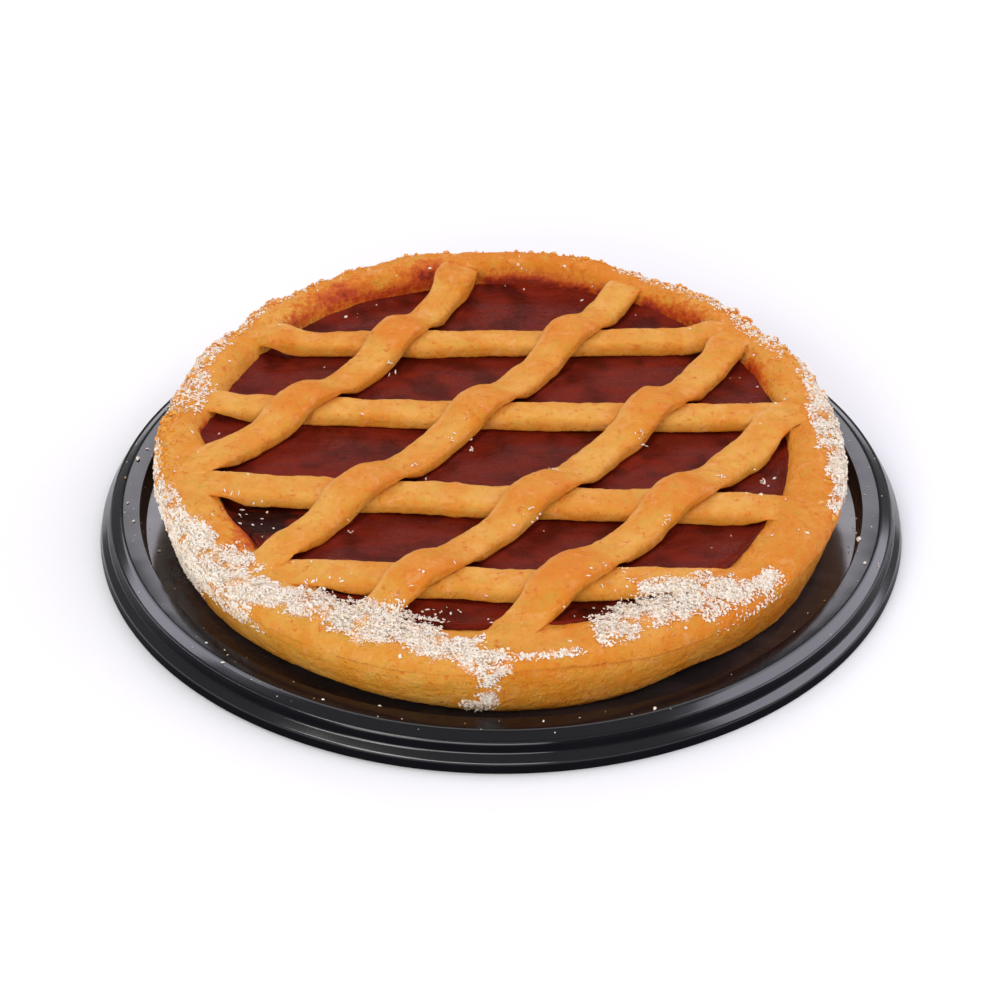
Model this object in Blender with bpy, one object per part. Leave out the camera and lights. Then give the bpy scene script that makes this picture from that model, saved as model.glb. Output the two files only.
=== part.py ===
"""Quince tart with a dough lattice, on its round black serving tray.

Lengths are in millimetres and become metres through MM. The tray stands on z = 0 with its axis on
the Z axis, and the side that is shown to the viewer faces -Y. Bearings are degrees in plan, counted
from +X towards +Y, so -90 is the front of the tart.
"""

import math

import bmesh
import bpy
import numpy as np
from mathutils import Matrix, Quaternion, Vector

MM = 0.001
GAP = 0.4

# Tray: one thin moulded sheet, read from the centre outwards.
TRAY_RADIUS = 150.0
TRAY_SHEET = 0.9
TRAY_FLOOR_Z = 4.0
TRAY_FLANGE_Z = 12.0
TRAY_FLOOR_RADIUS = 131.0
TRAY_FLANGE_INNER = 134.6
TRAY_FLANGE_OUTER = 142.4
TRAY_LIP_INNER = 145.8
TRAY_LIP_OUTER = 147.5
TRAY_LEDGE_Z = 4.2
TRAY_LEDGE_OUTER = 148.7
TRAY_CORNER_IN = 0.6
TRAY_CORNER_DOWN = 0.9
TRAY_LIP_DROP = 1.0
TRAY_SKIRT_LEAN = 0.3
TRAY_LEDGE_FALL = 0.6
TRAY_FOOT_LEAN = 0.1
TRAY_SEGMENTS = 60

# Tart: centre in plan, size of the baked case, and heights above the table.
TART_CENTRE = (-0.4, 3.5)
TART_OVAL = 1.03
BASE_RADIUS = 123.0
WALL_TOP_RADIUS = 127.0
RIM_OUTER_RADIUS = 128.8
RIM_INNER_RADIUS = 110.5
RIM_INNER_SHIFT = 6.2
RIM_INNER_TOWARDS = 95.0
RIM_INNER_PINCH = 3.6
RIM_PINCH_TOWARDS = 8.0
SEAM_Z = 24.6
CREST_Z = 33.6
BACK_RISE = 3.8
WELL_FLOOR_Z = 10.0
JAM_Z = 27.0
FOOT_Z = TRAY_FLOOR_Z + GAP
TART_SEGMENTS = 64

# Side wall above its foot: rounded foot, bulge and shoulder, as heights and as radii over the base's.
FOOT_ROUNDING = 1.6
BULGE_HEIGHT = 8.0
BULGE_OUT = 1.9
SHOULDER_DROP = 5.0
SHOULDER_IN = 0.6

# Section of the rim: steps over its top, setback of its underside, and its least height.
RIM_SQUARENESS = 0.62
RIM_SECTION_STEPS = 8
RIM_UNDERCUT = 1.2
RIM_LEAST_HEIGHT = 1.6

# Jam surface: shares of its radius that carry a ring of points, and the depth, number round the tart
# and length outwards of its shallow dips.
JAM_RINGS = (0.0, 0.3, 0.55, 0.8, 1.0)
JAM_DIP = 0.25
JAM_DIPS_ROUND = 3.0
JAM_DIP_LENGTH = 17.0

# Slow waves of the hand-pressed outline and of the rim: height, waves a turn, phase in radians.
OUTLINE_WAVES = ((1.6, 1, -0.3), (0.9, 2, -2.3), (0.7, 3, 2.0), (0.3, 9, 4.0))
CREST_WAVES = ((0.5, 4, 1.0), (0.4, 7, 3.1), (0.3, 11, 0.4))
INNER_WAVE_SHARE = 0.6
# Where a ribbon ends on the rim, the rim is pressed down by this much over this half width.
PRESS_DEPTH = 2.0
PRESS_HALF_WIDTH = 10.0

# Lattice ribbons: two end points in plan (bearing, reach from the tart's centre), the sideways bow
# at mid length, positive to the left of the way from start to end, and the width.
RIBBON_THICKNESS = 6.0
CROSSING_THICKNESS = 4.6
END_THICKNESS = 1.8
DRAPE_SLOPE = 1.0
STATION_STEP = 6.0
FINE_STEPS = 6
TOP_SMOOTHING = 4
RIM_HOLD = 2.0
RIM_THINNING = 8.0
CLIMB_HEIGHT = 5.0
# Section of a ribbon, in shares of its width from the centre line: foot, flat top, and the half width
# over which it holds up a ribbon above. Then the share of its height at which it bulges, the drop
# from its crest to its shoulders, and the length and share of the taper at its ends.
RIBBON_FOOT = 0.47
RIBBON_FLAT = 0.27
RIBBON_HOLD = 0.36
BULGE_SHARE = 0.55
CREST_DROP = 0.3
TAPER_LENGTH = 9.0
TAPER_SHARE = 0.14
# Name, start and end (bearing, reach), bow and width.
LOWER_RIBBONS = (
    ("lower_ribbon_1", (143.5, 119.0), (37.5, 118.0), -0.6, 14.0),
    ("lower_ribbon_2", (166.5, 120.0), (9.5, 119.0), -3.0, 15.0),
    ("lower_ribbon_3", (-168.0, 119.0), (-18.0, 127.0), -2.2, 17.0),
    ("lower_ribbon_4", (-142.0, 116.0), (-40.5, 118.0), -10.0, 16.0),
)
UPPER_RIBBONS = (
    ("upper_ribbon_1", (96.5, 122.0), (-171.0, 119.0), 10.5, 15.0),
    ("upper_ribbon_2", (64.5, 122.0), (-140.0, 119.0), 6.5, 15.0),
    ("upper_ribbon_3", (37.5, 119.0), (-116.0, 119.0), 6.0, 15.0),
    ("upper_ribbon_4", (13.0, 119.0), (-95.0, 124.0), 1.8, 16.0),
)

# Coconut flakes, fused to the dough: their size, the scales between which they vary, and the spread
# and the limits of their places in shares across the rim and of the wall's height.
FLAKE_SIZE = (3.4, 1.7, 1.1)
FLAKE_SCALES = (0.8, 1.15)
FLAKE_SEED = 11
RIM_SPREAD = 0.2
RIM_LIMITS = (0.14, 0.9)
WALL_SPREAD = 0.25
WALL_LIMITS = (0.2, 0.8)
SLOPE_STEP = 0.5
# Banks on the rim: bearing, spread in degrees, where across the rim (0 inner edge, 1 outer edge),
# and how many flakes.
RIM_BANKS = (
    (-160.0, 6.0, 0.60, 7),
    (-143.0, 10.0, 0.55, 14),
    (-122.0, 12.0, 0.50, 17),
    (-103.0, 8.0, 0.60, 9),
    (-68.0, 9.0, 0.45, 13),
    (-50.0, 12.0, 0.55, 14),
    (-10.0, 12.0, 0.85, 7),
    (13.0, 10.0, 0.75, 5),
    (30.0, 9.0, 0.60, 4),
    (115.0, 14.0, 0.55, 3),
    (160.0, 10.0, 0.65, 5),
)
# The same on the side wall: bearing, spread, height share of the wall (0 foot, 1 seam), how many.
WALL_BANKS = (
    (-172.0, 9.0, 0.60, 6),
    (-152.0, 11.0, 0.55, 14),
    (-93.0, 3.0, 0.50, 5),
    (-8.0, 9.0, 0.65, 4),
)


def clear_scene():
    for old in list(bpy.data.objects):
        bpy.data.objects.remove(old)


def make_material(name, colour, roughness):
    """A plain Principled surface of one colour."""
    material = bpy.data.materials.new(name)
    material.use_nodes = True
    shader = material.node_tree.nodes["Principled BSDF"]
    shader.inputs["Base Color"].default_value = (*colour, 1.0)
    shader.inputs["Roughness"].default_value = roughness
    shader.inputs["Metallic"].default_value = 0.0
    return material


def finish_object(name, mesh_data, material, sharp_angle=40.0):
    """Turns a bmesh into a named, smooth-shaded object."""
    mesh = bpy.data.meshes.new(name)
    mesh_data.to_mesh(mesh)
    mesh_data.free()
    mesh.shade_smooth()
    mesh.set_sharp_from_angle(angle=math.radians(sharp_angle))
    mesh.materials.append(material)
    made = bpy.data.objects.new(name, mesh)
    bpy.context.scene.collection.objects.link(made)
    return made


def turned(profile, segments, closed):
    """Spins a profile of (radius, z) round the Z axis. A closed profile makes a ring."""
    shape = bmesh.new()
    verts = [shape.verts.new((r * MM, 0.0, z * MM)) for r, z in profile]
    pairs = list(zip(verts, verts[1:]))
    if closed:
        pairs.append((verts[-1], verts[0]))
    edges = [shape.edges.new(pair) for pair in pairs]
    bmesh.ops.spin(
        shape,
        geom=verts + edges,
        cent=(0.0, 0.0, 0.0),
        axis=(0.0, 0.0, 1.0),
        angle=math.tau,
        steps=segments,
        use_merge=True,
    )
    bmesh.ops.remove_doubles(shape, verts=shape.verts, dist=0.01 * MM)
    bmesh.ops.recalc_face_normals(shape, faces=shape.faces)
    return shape


def waves(theta, table):
    """Sum of slow sine waves round the tart, in millimetres."""
    return sum(height * np.sin(count * theta + phase) for height, count, phase in table)


def plan_radius(x, y):
    """Bearing in radians and radius of a plan point in the tart's own oval."""
    u = x - TART_CENTRE[0]
    v = (y - TART_CENTRE[1]) / TART_OVAL
    return np.arctan2(v, u), np.hypot(u, v)


def plan_point(theta, radius):
    """Plan point of a bearing in radians and a radius in the tart's own oval."""
    x = TART_CENTRE[0] + radius * np.cos(theta)
    y = TART_CENTRE[1] + TART_OVAL * radius * np.sin(theta)
    return x, y


def back_rise(theta):
    """The rim stands a little higher at the back than at the front."""
    return BACK_RISE * np.sin(theta)


def rim_edges(theta):
    """Inner and outer radius of the rim at a bearing."""
    shift = RIM_INNER_SHIFT * np.cos(theta - math.radians(RIM_INNER_TOWARDS))
    pinch = RIM_INNER_PINCH * np.cos(theta - math.radians(RIM_PINCH_TOWARDS)) ** 2
    inner = RIM_INNER_RADIUS + shift - pinch - INNER_WAVE_SHARE * waves(theta, CREST_WAVES)
    outer = RIM_OUTER_RADIUS + waves(theta, OUTLINE_WAVES)
    return inner, outer


def seam_z(theta):
    return SEAM_Z + 0.5 * back_rise(theta)


def ribbon_press(theta):
    """How deep the rim is pressed at a bearing by the ribbon ends that lie on it."""
    depth = np.zeros(np.shape(theta))
    for _, *ends, _, _ in LOWER_RIBBONS + UPPER_RIBBONS:
        for bearing, _ in ends:
            turn = np.angle(np.exp(1j * (theta - math.radians(bearing))))
            away = turn * RIM_INNER_RADIUS / PRESS_HALF_WIDTH
            depth = np.maximum(depth, PRESS_DEPTH * np.exp(-(away**2)))
    return depth


def rim_height(theta, radius):
    """Top of the rounded rim at a bearing and radius: a superellipse over the rim's width."""
    inner, outer = rim_edges(theta)
    across = np.clip(np.abs((radius - 0.5 * (inner + outer)) / (0.5 * (outer - inner))), 0.0, 1.0)
    base = seam_z(theta) + GAP
    crest = CREST_Z + back_rise(theta) + waves(theta, CREST_WAVES) - ribbon_press(theta)
    return base + (crest - base) * (1.0 - across ** (2.0 / RIM_SQUARENESS)) ** (0.5 * RIM_SQUARENESS)


def reshape(shape, rule):
    """Moves every vertex by a rule of its bearing, radius and height, all in the tart's frame."""
    co = np.array([v.co for v in shape.verts]) / MM
    theta = np.arctan2(co[:, 1], co[:, 0])
    radius = np.hypot(co[:, 0], co[:, 1])
    new_radius, new_z = rule(theta, radius, co[:, 2])
    x, y = plan_point(theta, new_radius)
    for vert, place in zip(shape.verts, np.stack([x, y, new_z], axis=1) * MM):
        vert.co = Vector(place)


def sheet_underside(upper, thickness):
    """The upper profile moved in by the sheet's thickness along mitred normals, read backwards."""
    points = np.array(upper)
    along = np.diff(points, axis=0)
    along /= np.linalg.norm(along, axis=1)[:, None]
    normals = np.stack([along[:, 1], -along[:, 0]], axis=1)
    before = np.vstack([normals[:1], normals])
    after = np.vstack([normals, normals[-1:]])
    mitre = (before + after) / (1.0 + np.sum(before * after, axis=1))[:, None]
    return [tuple(p) for p in (points + thickness * mitre)[::-1]]


def build_tray(material):
    """Black tray: flat floor, raised flange, stepped skirt and a thin foot that stands on the table."""
    upper = [
        (0.0, TRAY_FLOOR_Z),
        (TRAY_FLOOR_RADIUS, TRAY_FLOOR_Z),
        (TRAY_FLANGE_INNER - TRAY_CORNER_IN, TRAY_FLANGE_Z - TRAY_CORNER_DOWN),
        (TRAY_FLANGE_INNER, TRAY_FLANGE_Z),
        (TRAY_FLANGE_OUTER, TRAY_FLANGE_Z),
        (TRAY_LIP_INNER, TRAY_FLANGE_Z - TRAY_LIP_DROP),
        (TRAY_LIP_OUTER, TRAY_FLANGE_Z - TRAY_LIP_DROP),
        (TRAY_LIP_OUTER + TRAY_SKIRT_LEAN, TRAY_LEDGE_Z + TRAY_LEDGE_FALL),
        (TRAY_LEDGE_OUTER, TRAY_LEDGE_Z),
        (TRAY_LEDGE_OUTER + TRAY_FOOT_LEAN, TRAY_SHEET),
        (TRAY_RADIUS, TRAY_SHEET),
    ]
    profile = upper + sheet_underside(upper, TRAY_SHEET)
    shape = turned(profile, TRAY_SEGMENTS, closed=False)
    return finish_object("tray", shape, material, sharp_angle=25.0)


def wall_profile():
    """Outer side of the case from its foot to the seam: it flares and bulges a little."""
    return [
        (BASE_RADIUS - FOOT_ROUNDING, FOOT_Z),
        (BASE_RADIUS, FOOT_Z + FOOT_ROUNDING),
        (BASE_RADIUS + BULGE_OUT, FOOT_Z + BULGE_HEIGHT),
        (WALL_TOP_RADIUS - SHOULDER_IN, SEAM_Z - SHOULDER_DROP),
        (WALL_TOP_RADIUS, SEAM_Z),
    ]


def wall_lift(z):
    """0 at the foot of the wall and 1 at the seam."""
    return np.clip((z - FOOT_Z) / (SEAM_Z - FOOT_Z), 0.0, 1.0)


def wall_radius(theta, z):
    """Outer radius of the side wall at a bearing and height."""
    radii, heights = zip(*wall_profile())
    return np.interp(z, heights, radii) + wall_lift(z) * waves(theta, OUTLINE_WAVES)


def build_shell(material):
    """Baked case: base and flared side wall in one, with a well for the filling."""
    well = [(0.0, WELL_FLOOR_Z), (RIM_INNER_RADIUS, WELL_FLOOR_Z), (RIM_INNER_RADIUS, SEAM_Z)]
    profile = well + wall_profile()[::-1] + [(0.0, FOOT_Z)]

    def uneven(theta, radius, z):
        inner, _ = rim_edges(theta)
        outer = radius + wall_lift(z) * waves(theta, OUTLINE_WAVES)
        outside = radius > RIM_INNER_RADIUS + 1.0
        radius = np.where(outside, outer, radius / RIM_INNER_RADIUS * inner)
        return radius, np.where(z > SEAM_Z - 1.0, seam_z(theta), z)

    shape = turned(profile, TART_SEGMENTS, closed=False)
    reshape(shape, uneven)
    return finish_object("pastry_shell", shape, material)


def build_rim(material):
    """Thick rounded band of dough laid round the top of the wall. In the profile that is turned, a
    height of 1 marks the points of the top and 0 those of the underside."""
    steps = np.linspace(0.0, math.pi, RIM_SECTION_STEPS + 1)
    across = np.sign(np.cos(steps)) * np.abs(np.cos(steps)) ** RIM_SQUARENESS
    middle = 0.5 * (RIM_INNER_RADIUS + RIM_OUTER_RADIUS)
    half = 0.5 * (RIM_OUTER_RADIUS - RIM_INNER_RADIUS)
    profile = [(middle + half * a, 1.0) for a in across]
    profile += [(RIM_INNER_RADIUS, 0.0), (RIM_OUTER_RADIUS - RIM_UNDERCUT, 0.0)]

    def uneven(theta, radius, mark):
        inner, outer = rim_edges(theta)
        share = (radius - middle) / half
        radius = 0.5 * (inner + outer) + 0.5 * (outer - inner) * share
        bottom = seam_z(theta) + GAP
        top = np.maximum(rim_height(theta, radius), bottom + RIM_LEAST_HEIGHT)
        return radius, np.where(mark > 0.5, top, bottom)

    shape = turned(profile, TART_SEGMENTS, closed=True)
    reshape(shape, uneven)
    return finish_object("rim_band", shape, material)


def build_filling(material):
    """Quince filling: a disc of set jam in the well, level with the foot of the ribbons."""
    edge = RIM_INNER_RADIUS - GAP
    profile = [(edge * share, JAM_Z) for share in JAM_RINGS]
    profile += [(edge, WELL_FLOOR_Z + GAP), (0.0, WELL_FLOOR_Z + GAP)]

    def uneven(theta, radius, z):
        inner, _ = rim_edges(theta)
        dips = JAM_DIP * (1.0 + np.sin(JAM_DIPS_ROUND * theta + radius / JAM_DIP_LENGTH))
        top = (z > JAM_Z - 1.0) & (radius < edge - 1.0)
        return radius * (inner - GAP) / edge, np.where(top, z - dips, z)

    shape = turned(profile, TART_SEGMENTS, closed=False)
    reshape(shape, uneven)
    return finish_object("quince_filling", shape, material)


class Ribbon:
    """A strip of dough: its bowed line in plan and the width and height of its top."""

    def __init__(self, start, end, bow, width):
        ends = [np.array(plan_point(math.radians(bearing), reach)) for bearing, reach in (start, end)]
        self.start, self.end, self.bow, self.width = ends[0], ends[1], bow, width
        self.length = float(np.linalg.norm(self.end - self.start))
        self.along = (self.end - self.start) / self.length
        self.left = np.array([-self.along[1], self.along[0]])

    def centre(self, share):
        """Points of the centre line at shares 0 to 1 of the length."""
        share = np.asarray(share)[..., None]
        side = 4.0 * self.bow * share * (1.0 - share)
        return self.start + share * self.length * self.along + side * self.left

    def locate(self, x, y):
        """Share of the length, distance from the centre line and distance past an end, of points."""
        offset = np.stack([x - self.start[0], y - self.start[1]], axis=-1)
        raw = offset @ self.along / self.length
        share = np.clip(raw, 0.0, 1.0)
        aside = offset @ self.left - 4.0 * self.bow * share * (1.0 - share)
        return share, aside, np.abs(raw - share) * self.length


def rim_support(x, y):
    """Height of the rim under a plan point, with an eased slope inside its inner edge."""
    theta, radius = plan_radius(x, y)
    inner, outer = rim_edges(theta)
    held = np.clip(radius, inner + RIM_HOLD, outer)
    return rim_height(theta, held) - DRAPE_SLOPE * np.abs(radius - held)


def ribbon_support(x, y, ribbons):
    """Height of the ribbons below under a plan point, easing down on both of their sides."""
    height = np.full(np.shape(x), JAM_Z)
    for ribbon, crest in ribbons:
        share, aside, beyond = ribbon.locate(x, y)
        top = np.interp(share, np.linspace(0.0, 1.0, len(crest)), crest)
        away = np.maximum(np.abs(aside) - RIBBON_HOLD * ribbon.width, 0.0) + beyond
        height = np.maximum(height, top - DRAPE_SLOPE * away)
    return height


def smooth_along(values, width):
    """Weighted running mean along the ribbon, keeping its end values."""
    reach = np.arange(-2 * width, 2 * width + 1)
    weights = np.exp(-0.5 * (reach / width) ** 2)
    padded = np.pad(values, 2 * width, mode="edge")
    return np.convolve(padded, weights / weights.sum(), mode="valid")


def drape(ribbon, below, stations):
    """Bottom heights on three lines of the ribbon, and the height of its top, at every station.

    The bottom is the highest support within a station's reach, so the faces between two stations
    stay clear of what lies below. The top follows the bottom, smoothed, and thinner where it climbs.
    """
    fine = np.linspace(0.0, 1.0, FINE_STEPS * (stations - 1) + 1)
    reach = FINE_STEPS // 2
    lines = []
    for side in (-0.5, -0.25, 0.0, 0.25, 0.5):
        x, y = (ribbon.centre(fine) + side * ribbon.width * ribbon.left).T
        height = np.maximum(rim_support(x, y), ribbon_support(x, y, below))
        padded = np.pad(np.maximum(height, JAM_Z) + GAP, reach, mode="edge")
        lines.append(np.max([padded[k : k + len(fine)] for k in range(2 * reach + 1)], axis=0))
    bottom = np.stack(
        [np.maximum(lines[0], lines[1]), np.max(lines[1:4], axis=0), np.maximum(lines[3], lines[4])],
        axis=1,
    )
    middle = lines[2]
    theta, radius = plan_radius(*ribbon.centre(fine).T)
    on_rim = np.clip((radius - rim_edges(theta)[0] + RIM_HOLD) / RIM_THINNING, 0.0, 1.0)
    climb = np.clip((middle - JAM_Z - GAP) / CLIMB_HEIGHT, 0.0, 1.0)
    thickness = RIBBON_THICKNESS + (CROSSING_THICKNESS - RIBBON_THICKNESS) * climb
    thickness = thickness + (END_THICKNESS - thickness) * on_rim
    bottom = bottom[::FINE_STEPS]
    top = smooth_along(middle + thickness, TOP_SMOOTHING)[::FINE_STEPS]
    return bottom, np.maximum(top, bottom[:, 1] + END_THICKNESS)


def ribbon_outline(low_right, low_mid, low_left, crest):
    """Section of a ribbon as seven points (share of the width aside, height), from its underside
    round its left side: foot, bulge and flat top."""
    bulge_left = low_left + BULGE_SHARE * max(crest - low_left, END_THICKNESS)
    bulge_right = low_right + BULGE_SHARE * max(crest - low_right, END_THICKNESS)
    return (
        (-RIBBON_FOOT, low_right),
        (0.0, low_mid),
        (RIBBON_FOOT, low_left),
        (0.5, bulge_left),
        (RIBBON_FLAT, max(low_left + END_THICKNESS, crest - CREST_DROP)),
        (-RIBBON_FLAT, max(low_right + END_THICKNESS, crest - CREST_DROP)),
        (-0.5, bulge_right),
    )


def build_ribbon(name, ribbon, below, material):
    """One ribbon laid over the filling, the rim and the ribbons below. Returns its crest heights."""
    stations = int(round(ribbon.length / STATION_STEP)) + 1
    shares = np.linspace(0.0, 1.0, stations)
    centre = ribbon.centre(shares)
    bottom, top = drape(ribbon, below, stations)
    ends = np.clip(np.minimum(shares, 1.0 - shares) * ribbon.length / TAPER_LENGTH, 0.0, 1.0)
    width = ribbon.width * (1.0 - TAPER_SHARE + TAPER_SHARE * np.sqrt(ends))
    shape = bmesh.new()
    sections = []
    for k in range(stations):
        outline = ribbon_outline(*bottom[k], top[k])
        places = [Vector((*(centre[k] + side * width[k] * ribbon.left), z)) * MM for side, z in outline]
        sections.append([shape.verts.new(place) for place in places])
    for one, two in zip(sections, sections[1:]):
        for i, corner in enumerate(one):
            j = (i + 1) % len(one)
            shape.faces.new((corner, one[j], two[j], two[i]))
    shape.faces.new(sections[0][::-1])
    shape.faces.new(sections[-1])
    bmesh.ops.triangulate(shape, faces=shape.faces)
    finish_object(name, shape, material)
    return top


def over_ribbon(x, y, ribbons, margin):
    """Whether a plan point lies on a ribbon or within a margin of one."""
    for ribbon in ribbons:
        aside, beyond = ribbon.locate(x, y)[1:]
        if abs(aside) < 0.5 * ribbon.width + margin and beyond < margin:
            return True
    return False


def rim_places(draw, ribbons):
    """Places and outward normals of the flakes on the rim, clear of the ribbon ends."""
    places = []
    for bearing, spread, middle, count in RIM_BANKS:
        found = 0
        while found < count:
            theta = math.radians(bearing + spread * draw.uniform(-1.0, 1.0))
            share = np.clip(middle + RIM_SPREAD * draw.normal(), *RIM_LIMITS)
            inner, outer = rim_edges(theta)
            radius = inner + share * (outer - inner)
            x, y = plan_point(theta, radius)
            rise = rim_height(theta, radius + SLOPE_STEP) - rim_height(theta, radius - SLOPE_STEP)
            slope = rise / (2.0 * SLOPE_STEP)
            place = Vector((x, y, float(rim_height(theta, radius))))
            normal = Vector((-slope * math.cos(theta), -slope * math.sin(theta), 1.0)).normalized()
            found += add_apart(places, place, normal, over_ribbon(x, y, ribbons, FLAKE_SIZE[0]))
    return places


def wall_places(draw):
    """Places and outward normals of the flakes that cling to the side wall."""
    lean = (WALL_TOP_RADIUS - BASE_RADIUS) / (SEAM_Z - FOOT_Z)
    places = []
    for bearing, spread, middle, count in WALL_BANKS:
        found = 0
        while found < count:
            theta = math.radians(bearing + spread * draw.uniform(-1.0, 1.0))
            z = FOOT_Z + np.clip(middle + WALL_SPREAD * draw.normal(), *WALL_LIMITS) * (SEAM_Z - FOOT_Z)
            x, y = plan_point(theta, wall_radius(theta, z))
            normal = Vector((math.cos(theta), math.sin(theta), -lean)).normalized()
            found += add_apart(places, Vector((x, y, z)), normal, False)
    return places


def add_apart(places, place, normal, refused):
    """Adds a place unless it is refused or nearer than a flake's width to another. Says if it did."""
    if refused or any((place - other).length < FLAKE_SIZE[1] for other, _ in places):
        return False
    places.append((place, normal))
    return True


def fuse_flakes(body, places, draw):
    """Joins small lens-shaped flakes to a body of dough by one union."""
    lens = bmesh.new()
    bmesh.ops.create_icosphere(lens, subdivisions=1, radius=0.5)
    lens_mesh = bpy.data.meshes.new("flake")
    lens.to_mesh(lens_mesh)
    lens.free()
    bank = bpy.data.collections.new(body.name + "_flakes")
    bpy.context.scene.collection.children.link(bank)
    for place, normal in places:
        size = Vector(FLAKE_SIZE) * draw.uniform(*FLAKE_SCALES) * MM
        turn = normal.to_track_quat("Z", "Y") @ Quaternion((0.0, 0.0, 1.0), draw.uniform(0.0, math.pi))
        flake = bpy.data.objects.new(body.name + "_flake", lens_mesh)
        flake.matrix_world = Matrix.LocRotScale(place * MM, turn, size)
        bank.objects.link(flake)
    union = body.modifiers.new("flakes", "BOOLEAN")
    union.operation = "UNION"
    union.operand_type = "COLLECTION"
    union.collection = bank
    union.solver = "EXACT"
    bpy.context.view_layer.update()
    evaluated = body.evaluated_get(bpy.context.evaluated_depsgraph_get())
    fused = bpy.data.meshes.new_from_object(evaluated)
    body.modifiers.clear()
    body.data = fused
    for flake in list(bank.objects):
        bpy.data.objects.remove(flake)
    bpy.data.collections.remove(bank)
    bpy.data.meshes.remove(lens_mesh)


def main():
    clear_scene()
    build_tray(make_material("tray_black", (0.012, 0.012, 0.015), 0.18))
    shell = build_shell(make_material("wall_crust", (0.60, 0.27, 0.07), 0.7))
    rim = build_rim(make_material("rim_crust", (0.68, 0.35, 0.10), 0.65))
    build_filling(make_material("quince_jam", (0.16, 0.02, 0.012), 0.15))
    dough = make_material("ribbon_dough", (0.70, 0.39, 0.12), 0.6)

    laid = []
    for table in (LOWER_RIBBONS, UPPER_RIBBONS):
        level = []
        for name, start, end, bow, width in table:
            ribbon = Ribbon(start, end, bow, width)
            level.append((ribbon, build_ribbon(name, ribbon, laid, dough)))
        laid = laid + level

    draw = np.random.default_rng(FLAKE_SEED)
    fuse_flakes(rim, rim_places(draw, [ribbon for ribbon, _ in laid]), draw)
    fuse_flakes(shell, wall_places(draw), draw)


main()
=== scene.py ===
"""Quince tart: baked case, woven dough lattice, jam and grated coconut, on a black serving tray.

The file is laid out as an add-on. Its panel sits in the 3D view's sidebar, one operator makes each
piece or group of like pieces, and main() calls them in order. Lengths are in metres. The tray stands
on z = 0 round the Z axis, and the side shown to the camera faces -Y. Bearings are degrees in plan,
counted from +X towards +Y. Every new surface is computed as whole numpy arrays.
"""

import math
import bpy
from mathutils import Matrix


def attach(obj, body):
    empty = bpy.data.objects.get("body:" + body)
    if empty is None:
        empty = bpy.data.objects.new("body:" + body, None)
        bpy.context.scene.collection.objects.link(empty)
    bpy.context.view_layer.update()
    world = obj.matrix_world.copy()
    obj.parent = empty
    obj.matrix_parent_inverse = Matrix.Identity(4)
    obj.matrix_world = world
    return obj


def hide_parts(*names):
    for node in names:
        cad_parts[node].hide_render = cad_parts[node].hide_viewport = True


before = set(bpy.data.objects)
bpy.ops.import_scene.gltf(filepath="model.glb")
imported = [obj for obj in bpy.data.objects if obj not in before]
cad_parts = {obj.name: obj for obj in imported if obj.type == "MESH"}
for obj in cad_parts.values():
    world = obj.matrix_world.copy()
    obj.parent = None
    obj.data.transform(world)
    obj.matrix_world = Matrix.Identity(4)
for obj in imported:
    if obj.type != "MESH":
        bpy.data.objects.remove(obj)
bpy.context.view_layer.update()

from types import SimpleNamespace

import bpy
import numpy as np
from bpy.props import FloatProperty, FloatVectorProperty, IntProperty, PointerProperty
from bpy.types import Operator, Panel, PropertyGroup

bl_info = {
    "name": "Quince tart",
    "version": (1, 0, 0),
    "blender": (4, 5, 0),
    "location": "View3D > Sidebar > Tart",
    "description": "Builds a lattice tart with jam and coconut on its serving tray",
    "category": "Add Mesh",
}

BODY = "root"
RIBBONS = [f"{layer}_ribbon_{k}" for layer in ("lower", "upper") for k in range(1, 5)]

# Slow waves of the hand-pressed outline and of the rim: height in metres, waves a turn, phase.
OUTLINE_WAVES = ((0.0016, 1, -0.3), (0.0009, 2, -2.3), (0.0007, 3, 2.0), (0.0003, 9, 4.0))
CREST_WAVES = ((0.0005, 4, 1.0), (0.0004, 7, 3.1), (0.0003, 11, 0.4))
# Bearings at which a ribbon's end presses the rim down.
PRESSED_BEARINGS = (
    143.5, 37.5, 166.5, 9.5, -168.0, -18.0, -142.0, -40.5,
    96.5, -171.0, 64.5, -140.0, 37.5, -116.0, 13.0, -95.0,
)

# Crumbly stretches of the rim's outer edge: bearing, spread, strength.
CRUMBLY_STRETCHES = ((48.0, 24.0, 1.0), (138.0, 26.0, 1.0), (5.0, 12.0, 0.5), (180.0, 12.0, 0.6))
# Jam that boiled over the rim's inner slope: bearing, spread, height above the jam and its spread in
# metres, strength.
RIM_STAINS = (
    (133.0, 4.0, 0.0045, 0.0034, 0.75),
    (123.0, 5.5, 0.0062, 0.0040, 1.00),
    (113.0, 8.0, 0.0024, 0.0030, 0.95),
    (104.0, 5.0, 0.0072, 0.0036, 1.10),
    (84.0, 15.0, 0.0012, 0.0044, 1.75),
    (60.0, 9.0, 0.0014, 0.0034, 1.30),
    (48.0, 6.0, 0.0050, 0.0030, 0.85),
    (28.0, 7.0, 0.0018, 0.0034, 1.05),
    (174.0, 6.0, 0.0005, 0.0026, 1.10),
    (-153.0, 9.0, 0.0008, 0.0026, 1.10),
    (-24.0, 7.0, 0.0005, 0.0016, 0.70),
)
# Where the opening runs further into the rim, or the rim further in: bearing, spread, depth.
RIM_BAYS = ((174.0, 4.5, 0.0046), (-149.0, 5.0, -0.0026))
# Where rim and side wall are baked darker, or paler below 0: bearing, spread, amount. The darker
# stretch at -80 degrees is painted shade at the front, and the paler one at -118 is painted light
# at the front left.
BROWN_STRETCHES = (
    (84.0, 22.0, 0.80), (122.0, 12.0, 0.35), (36.0, 16.0, 0.35), (2.0, 14.0, 0.35), (-45.0, 26.0, 0.42),
    (-80.0, 9.0, 0.15), (-118.0, 18.0, -0.30),
)
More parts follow.
